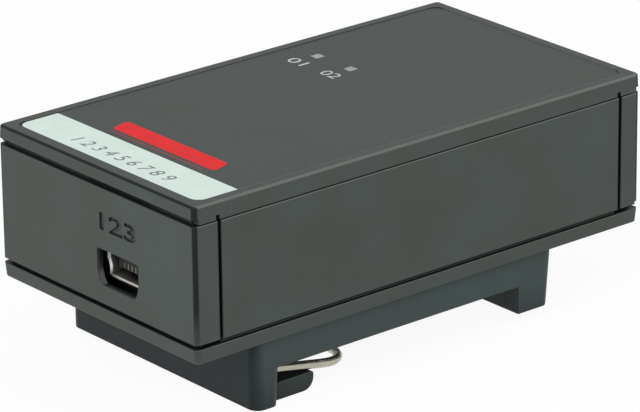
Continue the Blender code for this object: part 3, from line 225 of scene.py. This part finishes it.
def bump(tree, height, depth, normal=None):
    node = tree.nodes.new("ShaderNodeBump")
    node.inputs["Distance"].default_value = depth
    tree.links.new(height, node.inputs["Height"])
    if normal is not None:
        tree.links.new(normal, node.inputs["Normal"])
    return node.outputs["Normal"]


def calculate(tree, operation, first, second=0.0):
    node = tree.nodes.new("ShaderNodeMath")
    node.operation = operation
    for i, value in enumerate((first, second)):
        if isinstance(value, (int, float)):
            node.inputs[i].default_value = value
        else:
            tree.links.new(value, node.inputs[i])
    return node.outputs["Value"]


def product(tree, first, *others):
    """All the values multiplied."""
    for other in others:
        first = calculate(tree, "MULTIPLY", first, other)
    return first


def ways(tree, vector):
    """The X, Y and Z of a vector."""
    split = tree.nodes.new("ShaderNodeSeparateXYZ")
    tree.links.new(vector, split.inputs[0])
    return split.outputs


def face_normal(tree, kind="True Normal"):
    return tree.nodes.new("ShaderNodeNewGeometry").outputs[kind]


def shades(color, change):
    """A darker and a paler version of a colour."""
    return tuple(c * (1 - change) for c in color), tuple(c * (1 + change) for c in color)


def connect(tree, shader, look, rough, normal):
    """Gives a shader its colour, roughness and normal."""
    for value, name in ((look, "Base Color"), (rough, "Roughness"), (normal, "Normal")):
        tree.links.new(value, shader.inputs[name])


# Places on a piece: each function gives 1 there and 0 elsewhere

def on_edges(tree, where, normal):
    """First the edges along X that face up, for a painted highlight, then upright corners and the lid's
    front edge, for a painted dark reflection.

    An upright corner counts less and less towards the base.
    """
    place_x, _, place_z = ways(tree, where)
    x, y, z = ways(tree, normal)
    x, y = (calculate(tree, "ABSOLUTE", value) for value in (x, y))
    up = calculate(tree, "MAXIMUM", z)
    at_front = spread(tree, place_x, 1.0, 0.0, (FRONT_EDGE_X - EDGE_R, FRONT_EDGE_X + EDGE_R))
    other = calculate(tree, "MAXIMUM", product(tree, x, y), product(tree, x, up, at_front))
    high = spread(tree, place_z, 0.0, 1.0, CORNER_FADE)
    return (
        spread(tree, product(tree, y, up), 0.0, 1.0, LONG_EDGE),
        product(tree, spread(tree, other, 0.0, 1.0, OTHER_EDGE), high),
    )


def facing_front(tree, normal, share=1.0):
    """What faces the USB end, up to a share."""
    return calculate(tree, "MAXIMUM", product(tree, ways(tree, normal)[0], -share))


def past(tree, where, corner):
    """Where X and Z are both greater than a corner's."""
    x, _, z = ways(tree, where)
    behind = calculate(tree, "GREATER_THAN", x, corner[0])
    return product(tree, behind, calculate(tree, "GREATER_THAN", z, corner[1]))


def in_port(tree, where, mouth):
    """Behind the port's mouth, given by its X and the Y of its middle."""
    x, y, _ = ways(tree, where)
    deep = spread(tree, x, 0.0, 1.0, (mouth[0], mouth[0] + PIT_FADE))
    aside = calculate(tree, "ABSOLUTE", calculate(tree, "SUBTRACT", y, mouth[1]))
    return product(tree, deep, spread(tree, aside, 1.0, 0.0, (PIT_HALF_W, PIT_HALF_W + PIT_FADE)))


def on_line(tree, where, normal, heights):
    """Between two heights, on a side that faces along Y."""
    z = ways(tree, where)[2]
    above = calculate(tree, "GREATER_THAN", z, heights[0])
    below = calculate(tree, "GREATER_THAN", heights[1], z)
    return product(tree, above, below, calculate(tree, "ABSOLUTE", ways(tree, normal)[1]))


# Materials

def paint_hollow_shade(tree, reach, look, color, kept=None):
    """Paints shade on a colour deep in a groove or a hole, except where kept is 1."""
    node = tree.nodes.new("ShaderNodeAmbientOcclusion")
    node.samples = 8
    node.inputs["Distance"].default_value = reach
    clear = spread(tree, node.outputs["AO"], 0.0, 1.0, OPENNESS)
    if kept is not None:
        clear = calculate(tree, "MAXIMUM", clear, kept)
    return mixed(tree, clear, shades(color, HOLLOW_SHADE_DARK)[0], look)


def plastic(name, color, roughness, grain=0.25 * MM, depth=0.006 * MM, change=0.08, cloud=14 * MM,
            warmth=0.0, specular=0.5, edge=None, corner=None, edge_r=EDGE_R, speck=None, front_shade=0.0,
            reach=None, flush=None, pit=None, rim=None):
    """Moulded plastic: clouded colour, spark-eroded grain, painted highlights and painted dark reflections
    on edges, and painted shade in grooves.

    front_shade is how much of the corner colour lies, as painted shade, on what faces the USB end.
    flush is the X and Z past which the wall of the label film's recess gets no painted shade and,
    where it faces the USB end, gets the edge colour as a painted highlight. pit is the port's
    mouth: its X, and the Y of its middle; behind it the corner colour is painted shade. rim is the two
    heights of a line painted in the edge colour as a painted highlight.
    """
    made, tree, shader = new_material(name)
    where = place_on(tree)
    normal = round_normal(tree, edge_r)
    grains = noise(tree, where, grain, 3.0, 0.6)
    dark, pale = shades(color, change)
    dark = (dark[0] * (1 + warmth), dark[1], dark[2] * (1 - warmth))
    pale = (pale[0] * (1 - warmth), pale[1], pale[2] * (1 + warmth))
    look = mixed(tree, spread(tree, noise(tree, where, cloud, 3.0), 0.0, 1.0), dark, pale)
    if speck is not None:
        specks = noise(tree, where, grain * 1.2, 1.0)
        look = mixed(tree, spread(tree, specks, 0.0, 0.55, SPECKS), look, speck)
        pits = noise(tree, where, grain * 1.5, 1.0)
        look = mixed(tree, spread(tree, pits, 0.45, 0.0, PITS), look, shades(color, 0.45)[0])
    # Painted shade, in the corner colour, on what faces the USB end.
    if front_shade:
        look = mixed(tree, facing_front(tree, normal, front_shade), look, corner)
    recess_unshaded = None if flush is None else past(tree, where, flush)
    # Painted shade deep in grooves and holes, kept off the recess wall behind the film.
    if reach is not None:
        look = paint_hollow_shade(tree, reach, look, color, recess_unshaded)
    # Painted highlight, in the edge colour, on the recess wall behind the film where it faces the USB end.
    if flush is not None:
        look = mixed(tree, product(tree, recess_unshaded, facing_front(tree, face_normal(tree))), look, edge)
    # Painted shade, in the corner colour, inside the port.
    if pit is not None:
        look = mixed(tree, in_port(tree, where, pit), look, corner)
    # Painted highlight, in the edge colour, along the wall's upper edge.
    if rim is not None:
        look = mixed(tree, on_line(tree, where, normal, rim), look, edge)
    # Painted highlights on the long upper edges; painted dark reflections on upright corners and the lid's
    # front edge.
    if edge is not None:
        edge_highlight, dark_reflection = on_edges(tree, where, normal)
        look = mixed(tree, dark_reflection, mixed(tree, edge_highlight, look, edge), corner)
    rough = spread(tree, grains, roughness * 0.88, roughness * 1.14)
    connect(tree, shader, look, rough, bump(tree, grains, depth, normal))
    shader.inputs["Specular IOR Level"].default_value = specular
    return made


def metal(name, color, roughness, streak=0.5 * MM, depth=0.002 * MM, stretch=(1, 1, 1), change=0.08,
          reach=None):
    """Plated or drawn metal: faint streaks along the way it was worked, softer, duller patches, and
    painted shade in hollows where a reach is given.
    """
    made, tree, shader = new_material(name)
    where = place_on(tree)
    streaks = noise(tree, where, streak, 4.0, 0.6, stretch)
    patches = noise(tree, where, 3.0 * MM, 3.0)
    look = mixed(tree, spread(tree, patches, 0.0, 1.0), *shades(color, change))
    # Painted shade deep in hollows.
    if reach is not None:
        look = paint_hollow_shade(tree, reach, look, color)
    rough = spread(tree, streaks, roughness * 0.75, roughness * 1.35)
    connect(tree, shader, look, rough, bump(tree, streaks, depth, round_normal(tree, EDGE_R / 2)))
    shader.inputs["Metallic"].default_value = 1.0
    return made


def print_ink(name, color, roughness=0.45, change=0.06, fade=None, specular=0.3):
    """Screen print: solid ink with small thin spots where what is under it shows through."""
    made, tree, shader = new_material(name)
    where = place_on(tree)
    thin = noise(tree, where, 0.3 * MM, 2.0, 0.6)
    clouds = noise(tree, where, 4 * MM, 2.0)
    look = mixed(tree, spread(tree, clouds, 0.0, 1.0), *shades(color, change))
    if fade is not None:
        look = mixed(tree, spread(tree, thin, 0.35, 0.0, THIN_SPOTS), look, fade)
    rough = spread(tree, thin, roughness * 0.9, roughness * 1.1)
    connect(tree, shader, look, rough, bump(tree, thin, 0.002 * MM))
    shader.inputs["Specular IOR Level"].default_value = specular
    return made


def window_plastic(name):
    """Cloudy light pipe, lit by nothing: a grey, finely scratched face over a darker core."""
    made, tree, shader = new_material(name)
    haze = noise(tree, place_on(tree), 0.45 * MM, 3.0, 0.6)
    look = mixed(tree, spread(tree, haze, 0.0, 1.0), (0.17, 0.205, 0.185), (0.46, 0.51, 0.48))
    relief = bump(tree, haze, 0.004 * MM, round_normal(tree))
    connect(tree, shader, look, spread(tree, haze, 0.22, 0.42), relief)
    shader.inputs["Transmission Weight"].default_value = 0.15
    shader.inputs["IOR"].default_value = 1.49
    return made


def solder_mask(name):
    """Green board: glass weave under a glossy mask, paler tracks, and bare laminate at the cut edges,
    painted darker than bare laminate as painted shade.
    """
    made, tree, shader = new_material(name)
    where = place_on(tree)
    weave = tree.nodes.new("ShaderNodeTexWave")
    weave.inputs["Scale"].default_value = 1.0 / (6 * MM)
    weave.inputs["Distortion"].default_value = 0.6
    tree.links.new(where, weave.inputs["Vector"])
    tracks = tree.nodes.new("ShaderNodeTexBrick")
    tracks.inputs["Scale"].default_value = 1.0 / (9 * MM)
    tracks.inputs["Mortar Size"].default_value = 0.035
    tracks.inputs["Color1"].default_value = (0, 0, 0, 1)
    tracks.inputs["Color2"].default_value = (0, 0, 0, 1)
    tracks.inputs["Mortar"].default_value = (1, 1, 1, 1)
    tree.links.new(where, tracks.inputs["Vector"])
    look = mixed(tree, weave.outputs["Fac"], (0.012, 0.11, 0.045), (0.018, 0.15, 0.06))
    look = mixed(tree, tracks.outputs["Fac"], look, (0.05, 0.28, 0.11))
    # Faces that don't lie flat get the laminate colour, darkened as painted shade.
    level = calculate(tree, "ABSOLUTE", ways(tree, face_normal(tree, "Normal"))[2])
    look = mixed(tree, spread(tree, level, 1.0, 0.0), look, (0.022, 0.02, 0.013))
    rough = spread(tree, weave.outputs["Fac"], 0.28, 0.4, FULL)
    connect(tree, shader, look, rough, bump(tree, tracks.outputs["Fac"], 0.02 * MM))
    return made


wall_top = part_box("bottom_cover")[1].z


def case_plastic(name, **marks):
    # edge is a pale colour for painted highlights, corner a dark one for painted dark reflections and
    # painted shade, and reach how far painted shade in grooves reaches.
    return plastic(
        name, (0.051, 0.060, 0.054), 0.52, grain=0.22 * MM, cloud=9 * MM, warmth=0.06, specular=0.22,
        edge=(0.125, 0.135, 0.122), corner=(0.003, 0.005, 0.005), reach=1.6 * MM,
        rim=(wall_top - SEAM_HIGHLIGHT_H, wall_top), **marks,
    )


panel_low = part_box("front_panel")[0]
port_low, port_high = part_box("usb_shell")
film_low, film_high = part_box("label_film")
FINISHES = {
    "black_abs": case_plastic("case_plastic"),
    # The holder's edge and corner colours are painted highlight and painted dark reflection; its long reach
    # and front_shade paint shade under the case's overhang and on its front.
    "holder_plastic": plastic(
        "holder_plastic", (0.040, 0.058, 0.056), 0.40, grain=0.35 * MM, depth=0.003 * MM, change=0.10,
        edge=(0.06, 0.075, 0.075), corner=(0.003, 0.013, 0.014), cloud=9 * MM, specular=0.2, reach=9 * MM,
        warmth=0.05, front_shade=0.88,
    ),
    "film_dark": plastic(
        "film_dark", (0.049, 0.060, 0.055), 0.55, grain=0.17 * MM, depth=0.005 * MM, change=0.05,
        specular=0.22, speck=(0.085, 0.095, 0.088), warmth=0.05, edge_r=0.02 * MM,
    ),
    "clear_plastic": window_plastic("window_plastic"),
    "board_green": solder_mask("board_green"),
    # black_resin, tinned_steel and zinc_steel get painted shade deep in their hollows through reach.
    "black_resin": plastic(
        "black_resin", (0.014, 0.014, 0.013), 0.5, grain=0.12 * MM, change=0.12, specular=0.3,
        reach=1.5 * MM,
    ),
    "tinned_steel": metal(
        "tinned_steel", (0.84, 0.83, 0.78), 0.42, streak=1.5 * MM, depth=0.0005 * MM, reach=2.1 * MM,
    ),
    "zinc_steel": metal("zinc_steel", (0.50, 0.51, 0.52), 0.34, reach=2.2 * MM),
    "spring_steel": metal("spring_steel", (0.43, 0.41, 0.34), 0.27, streak=1.2 * MM, depth=0.001 * MM),
    "gold_plate": metal("gold_plate", (0.72, 0.54, 0.25), 0.3, stretch=(0.2, 1, 1)),
    "can_aluminium": metal("can_aluminium", (0.72, 0.73, 0.75), 0.3, stretch=(1, 1, 0.2)),
    "ceramic_tan": plastic("ceramic_tan", (0.40, 0.28, 0.18), 0.45, grain=0.1 * MM),
    "ferrite_grey": plastic("ferrite_grey", (0.09, 0.09, 0.10), 0.6, grain=0.1 * MM),
    "led_white": plastic("led_white", (0.72, 0.72, 0.66), 0.35, grain=0.15 * MM, change=0.04),
}
port_y = (port_low.y + port_high.y) / 2
# The front panel gets painted shade inside the port.
PANEL_PLASTIC = case_plastic("panel_plastic", pit=(panel_low.x + EDGE_R, port_y))
# The lid's recess wall behind the film gets no painted shade and a painted highlight.
LID_PLASTIC = case_plastic("lid_plastic", flush=(film_high.x - EDGE_R, film_high.z - EDGE_R))
CONTACT_PLATE = metal("contact_plate", (0.20, 0.20, 0.17), 0.42, stretch=(0.2, 1, 1))
OWN_FINISHES = {"top_cover": LID_PLASTIC, **{f"usb_contact_{i}": CONTACT_PLATE for i in range(1, 6)}}
for part in frame["record"]["subparts"]:
    data = NODES[part["node"]].data
    data.materials.clear()
    data.materials.append(OWN_FINISHES.get(part["node"], FINISHES[part["material_slot"]]))

INK_PALE = print_ink("ink_pale", (0.69, 0.81, 0.755), 0.4, change=0.03)
INK_GREY = print_ink("ink_grey", (0.14, 0.16, 0.155), fade=(0.45, 0.52, 0.50))
INK_RED = print_ink(
    "ink_red", (0.78, 0.014, 0.016), 0.5, change=0.08, fade=(0.40, 0.02, 0.02), specular=0.12,
)
INK_DULL_RED = print_ink("ink_dull_red", (0.22, 0.022, 0.02), fade=(0.06, 0.05, 0.045))
INK_WHITE = print_ink("ink_white", (0.52, 0.56, 0.53), fade=(0.16, 0.18, 0.17))


# Pieces

def piece(name, mesh, look, slot, *nodes):
    """Puts a mesh in the scene as a piece of the object, in place of any CAD nodes named."""
    made = bpy.data.objects.new(name, mesh)
    mesh.name = name
    mesh.materials.clear()
    mesh.materials.append(look)
    scene.collection.objects.link(made)
    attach(made, "root")
    if nodes:
        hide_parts(*nodes)


Z_INK = film_high.z
INK_SLOT = "film_dark"


def printed(name, outline, look):
    """A flat print with this outline, standing one ink's thickness on the film."""
    shape = bmesh.new()
    face = shape.faces.new([shape.verts.new((x, y, Z_INK)) for x, y in outline])
    raised = bmesh.ops.extrude_face_region(shape, geom=[face])
    bmesh.ops.translate(
        shape, vec=(0, 0, PRINT_T), verts=[v for v in raised["geom"] if isinstance(v, bmesh.types.BMVert)],
    )
    bmesh.ops.recalc_face_normals(shape, faces=shape.faces[:])
    mesh = bpy.data.meshes.new(name)
    shape.to_mesh(mesh)
    shape.free()
    piece(name, mesh, look, INK_SLOT)


def rounded(points, radii, steps=6):
    """Replaces each corner of an outline by an arc of its own radius."""
    out = []
    for i, (corner, radius) in enumerate(zip(points, radii)):
        here = Vector(corner)
        before = (Vector(points[i - 1]) - here).normalized()
        after = (Vector(points[(i + 1) % len(points)]) - here).normalized()
        if radius <= 0:
            out.append(tuple(here))
            continue
        half = before.angle(after) / 2
        centre = here + (before + after).normalized() * (radius / math.sin(half))
        first = here + before * (radius / math.tan(half)) - centre
        last = here + after * (radius / math.tan(half)) - centre
        sweep = math.copysign(first.angle(last), first.x * last.y - first.y * last.x)
        for step in range(steps + 1):
            turned = Matrix.Rotation(sweep * step / steps, 2) @ first
            out.append((centre.x + turned.x, centre.y + turned.y))
    return out


def digits(text, height, length, thick, place, slant=0.0, bold=0.0):
    """A mesh of digits of this height and length, centred on their own middle, then placed."""
    curve = bpy.data.curves.new("digits", "FONT")
    curve.body = text
    curve.extrude = thick / 2 / height
    curve.shear = slant
    curve.offset = bold
    curve.resolution_u = 3
    guide = bpy.data.objects.new("digits", curve)
    scene.collection.objects.link(guide)
    bpy.context.view_layer.update()
    mesh = bpy.data.meshes.new_from_object(guide.evaluated_get(bpy.context.evaluated_depsgraph_get()))
    bpy.data.objects.remove(guide, do_unlink=True)
    low, high = ([f(v.co[i] for v in mesh.vertices) for i in range(2)] for f in (min, max))
    scale = (length / (high[0] - low[0]), height / (high[1] - low[1]))
    middle = Matrix.Translation((-(low[0] + high[0]) / 2, -(low[1] + high[1]) / 2, 0))
    mesh.transform(place @ Matrix.Diagonal((*scale, height, 1.0)) @ middle)
    return mesh


def flat_text(x, y, z):
    """Text that reads along -Y with its tops towards +X, and faces up."""
    return Matrix.Translation((x, y, z)) @ Matrix(((0, 1, 0), (-1, 0, 0), (0, 0, 1))).to_4x4()


band_x = film_low.x + BAND_START
band_y = film_high.y - BAND_SIDE
band_outline = rounded(
    [(band_x, -band_y), (band_x + BAND_L, -band_y), (band_x + BAND_L, band_y), (band_x, band_y)],
    [BAND_R, 0, 0, BAND_R],
)
printed("print_band", band_outline, INK_PALE)

pin_place = flat_text(*PIN_DIGITS_AT, Z_INK + PRINT_T)
pin_mesh = digits(PIN_DIGITS, PIN_DIGITS_H, PIN_DIGITS_L, PRINT_T, pin_place, slant=DIGIT_SLANT)
piece("print_pin_digits", pin_mesh, INK_GREY, INK_SLOT)

x, y = BAR_AT
bar = [
    (x - BAR_H / 2, y - BAR_L / 2 - BAR_SLANT / 2), (x + BAR_H / 2, y - BAR_L / 2 + BAR_SLANT / 2),
    (x + BAR_H / 2, y + BAR_L / 2 + BAR_SLANT / 2), (x - BAR_H / 2, y + BAR_L / 2 - BAR_SLANT / 2),
]
printed("print_red_bar", rounded(bar, [BAR_R] * 4), INK_RED)
line_xs = (LINE_X - LINE_T / 2, LINE_X + LINE_T / 2)
line_ys = (y - LINE_L / 2, y + LINE_L / 2)
line = [
    (line_xs[0], line_ys[0]), (line_xs[1], line_ys[0]),
    (line_xs[1], line_ys[1]), (line_xs[0], line_ys[1]),
]
printed("print_red_line", rounded(line, [LINE_T / 3] * 4, 3), INK_DULL_RED)

for number, text in enumerate(LAMP_DIGITS, 1):
    low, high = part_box(f"light_pipe_{3 - number}")
    x, y = (low.x + high.x) / 2 - LAMP_DIGITS_BACK, (low.y + high.y) / 2
    lamp_mesh = digits(text, LAMP_DIGITS_H, LAMP_DIGITS_L, PRINT_T, flat_text(x, y, Z_INK + PRINT_T / 2))
    piece(f"print_lamp_digits_{number}", lamp_mesh, INK_WHITE, INK_SLOT)


# Front panel, with its digits cut in

def copy_of(node):
    """A copy of a CAD node's mesh, with its split points welded and its flat faces joined up."""
    shape = bmesh.new()
    shape.from_mesh(NODES[node].data)
    bmesh.ops.remove_doubles(shape, verts=shape.verts[:], dist=WELD)
    bmesh.ops.dissolve_limit(
        shape, angle_limit=FLAT_ANGLE, verts=shape.verts[:], edges=shape.edges[:], delimit={"NORMAL"},
    )
    mesh = bpy.data.meshes.new(node + "_copy")
    shape.to_mesh(mesh)
    shape.free()
    if "custom_normal" in mesh.attributes:
        mesh.attributes.remove(mesh.attributes["custom_normal"])
    return mesh


def changed(mesh, *steps, smooth=True):
    """The mesh after modifiers, each given as (type, {setting: value}).

    It is shaded smooth between its sharp edges, if that is asked for.
    """
    holder = bpy.data.objects.new("change", mesh)
    scene.collection.objects.link(holder)
    for kind, settings in steps:
        modifier = holder.modifiers.new(kind, kind)
        for name, value in settings.items():
            setattr(modifier, name, value)
    bpy.context.view_layer.update()
    out = bpy.data.meshes.new_from_object(holder.evaluated_get(bpy.context.evaluated_depsgraph_get()))
    bpy.data.objects.remove(holder, do_unlink=True)
    if smooth:
        out.shade_smooth()
        out.set_sharp_from_angle(angle=SHARP_ANGLE)
    return out


def evened(mesh):
    """Keeps flat faces flat in the shading beside a rounded edge."""
    return changed(mesh, ("WEIGHTED_NORMAL", {"keep_sharp": True}), smooth=False)


digits_z = (port_low.z + port_high.z) / 2 + PORT_DIGITS_UP
digits_at = Matrix.Translation((panel_low.x, port_y + PORT_DIGITS_ASIDE, digits_z))
standing = Matrix(((0, 0, -1), (-1, 0, 0), (0, 1, 0))).to_4x4()
cutter_mesh = digits(
    PORT_DIGITS, PORT_DIGITS_H, PORT_DIGITS_L, 2 * PORT_DIGITS_D, digits_at @ standing,
    bold=PORT_DIGITS_BOLD,
)
cutter = bpy.data.objects.new("port_digits_cutter", cutter_mesh)
scene.collection.objects.link(cutter)
cut = ("BOOLEAN", {"operation": "DIFFERENCE", "solver": "EXACT", "object": cutter})
panel_mesh = changed(copy_of("front_panel"), cut)
bpy.data.objects.remove(cutter, do_unlink=True)
piece("front_panel_engraved", evened(panel_mesh), PANEL_PLASTIC, "black_abs", "front_panel")


# Shell of the USB socket, with its rolled front lip

def rolled_shell():
    """The shell with its rim flared outwards and its edges rounded."""
    shape = bmesh.new()
    shape.from_mesh(copy_of("usb_shell"))
    middle = (port_low + port_high) / 2
    bmesh.ops.bisect_plane(
        shape, geom=shape.verts[:] + shape.edges[:] + shape.faces[:], dist=WELD,
        plane_co=(port_low.x + LIP_L, 0, 0), plane_no=(1, 0, 0),
    )
    rim = [v for v in shape.verts if v.co.x < port_low.x + WELD]
    for vert in rim:
        out = vert.co - middle
        at_side = min(abs(out.y) / (port_high.y - port_low.y) * LIP_STEEP, 1)
        vert.co.y += math.copysign(LIP_FLARE * at_side, out.y)
    rim_edges = [e for e in shape.edges if all(v in rim for v in e.verts) and len(e.link_faces) == 2]
    bmesh.ops.bevel(shape, geom=rim_edges, offset=LIP_R, segments=3, profile=0.5, affect="EDGES")
    mesh = bpy.data.meshes.new("usb_shell_rolled")
    shape.to_mesh(mesh)
    shape.free()
    return evened(changed(mesh))


piece("usb_shell_rolled", rolled_shell(), FINISHES["tinned_steel"], "tinned_steel", "usb_shell")


# Floor, light and camera

def add_floor():
    """A pale sweep that fades to white for the camera and keeps part of the object's shadow."""
    shape = bmesh.new()
    profile = [(-FLOOR_HALF, 0.0), (FLOOR_BACK, 0.0)]
    for step in range(1, FLOOR_BEND_STEPS + 1):
        turn = math.radians(90 * step / FLOOR_BEND_STEPS)
        profile.append((FLOOR_BACK + FLOOR_BEND * math.sin(turn), FLOOR_BEND - FLOOR_BEND * math.cos(turn)))
    profile.append((FLOOR_BACK + FLOOR_BEND, FLOOR_TOP))
    rows = [[shape.verts.new((x, y, z)) for x, z in profile] for y in (-FLOOR_HALF, FLOOR_HALF)]
    for i in range(len(profile) - 1):
        shape.faces.new((rows[0][i], rows[0][i + 1], rows[1][i + 1], rows[1][i]))
    mesh = bpy.data.meshes.new("floor")
    shape.to_mesh(mesh)
    shape.free()
    mesh.shade_smooth()
    # The sweep rises on the side away from the camera.
    mesh.transform(Matrix.Rotation(CAMERA_AZ + math.radians(90), 4, "Z"))
    floor = bpy.data.objects.new("floor", mesh)
    scene.collection.objects.link(floor)
    mesh.materials.append(floor_paint())


def floor_paint():
    """Pale paper that glows white to the camera."""
    made, tree, shader = new_material("floor_pale")
    paper = noise(tree, place_on(tree), 2.0 * MM, 2.0)
    look = mixed(tree, paper, (0.88, 0.88, 0.875), (0.93, 0.93, 0.925))
    tree.links.new(look, shader.inputs["Base Color"])
    shader.inputs["Roughness"].default_value = 0.9
    shader.inputs["Specular IOR Level"].default_value = 0.1
    glow = tree.nodes.new("ShaderNodeEmission")
    glow.inputs["Strength"].default_value = 1.0
    mix = tree.nodes.new("ShaderNodeMixShader")
    tree.links.new(seen_directly(tree, FLOOR_SEEN), mix.inputs["Fac"])
    tree.links.new(shader.outputs["BSDF"], mix.inputs[1])
    tree.links.new(glow.outputs["Emission"], mix.inputs[2])
    output = next(n for n in tree.nodes if n.type == "OUTPUT_MATERIAL")
    tree.links.new(mix.outputs["Shader"], output.inputs["Surface"])
    return made


def seen_directly(tree, amount):
    """The amount for a ray from the camera, or through or off a shiny piece; 0 for other light."""
    path = tree.nodes.new("ShaderNodeLightPath")
    total = path.outputs["Is Camera Ray"]
    for name in ("Is Glossy Ray", "Is Transmission Ray"):
        total = calculate(tree, "MAXIMUM", total, path.outputs[name])
    return product(tree, total, amount)


def add_world():
    world = bpy.data.worlds.new("studio")
    world.use_nodes = True
    scene.world = world
    tree = world.node_tree
    tree.nodes.clear()
    output = tree.nodes.new("ShaderNodeOutputWorld")
    background = tree.nodes.new("ShaderNodeBackground")
    strength = spread(tree, seen_directly(tree, 1.0), WORLD_LIGHT, WORLD_SEEN, FULL)
    tree.links.new(strength, background.inputs["Strength"])
    tree.links.new(background.outputs["Background"], output.inputs["Surface"])


def add_lamp(name, place, size, power):
    """A square soft box that looks at the object."""
    data = bpy.data.lights.new(name, "AREA")
    data.size = size
    data.energy = power
    lamp = bpy.data.objects.new(name, data)
    scene.collection.objects.link(lamp)
    lamp.location = place
    lamp.rotation_euler = (Vector(place) - TARGET).to_track_quat("Z", "Y").to_euler()


def add_camera():
    """Puts the camera where the photo's stood, with the target at the photo's pixel."""
    flat = math.cos(CAMERA_EL)
    back = Vector((math.sin(CAMERA_AZ) * flat, -math.cos(CAMERA_AZ) * flat, math.sin(CAMERA_EL)))
    level = Vector((math.cos(CAMERA_AZ), math.sin(CAMERA_AZ), 0))
    rise = back.cross(level)
    right = level * math.cos(CAMERA_ROLL) + rise * math.sin(CAMERA_ROLL)
    up = rise * math.cos(CAMERA_ROLL) - level * math.sin(CAMERA_ROLL)
    across = (TARGET_PX[0] - IMAGE_W / 2) / FOCAL_PX * CAMERA_DISTANCE
    above = (IMAGE_H / 2 - TARGET_PX[1]) / FOCAL_PX * CAMERA_DISTANCE
    data = bpy.data.cameras.new("camera")
    data.sensor_width = SENSOR_W
    data.lens = FOCAL_PX / IMAGE_W * SENSOR_W
    data.clip_start = 0.01
    camera = bpy.data.objects.new("camera", data)
    scene.collection.objects.link(camera)
    place = Matrix((right, up, back)).transposed().to_4x4()
    place.translation = TARGET - across * right - above * up + CAMERA_DISTANCE * back
    camera.matrix_world = place
    scene.camera = camera


add_floor()
add_world()
for name, (place, size, power) in LAMPS.items():
    add_lamp(name, place, size, power)
add_camera()
scene.view_settings.view_transform = "Standard"
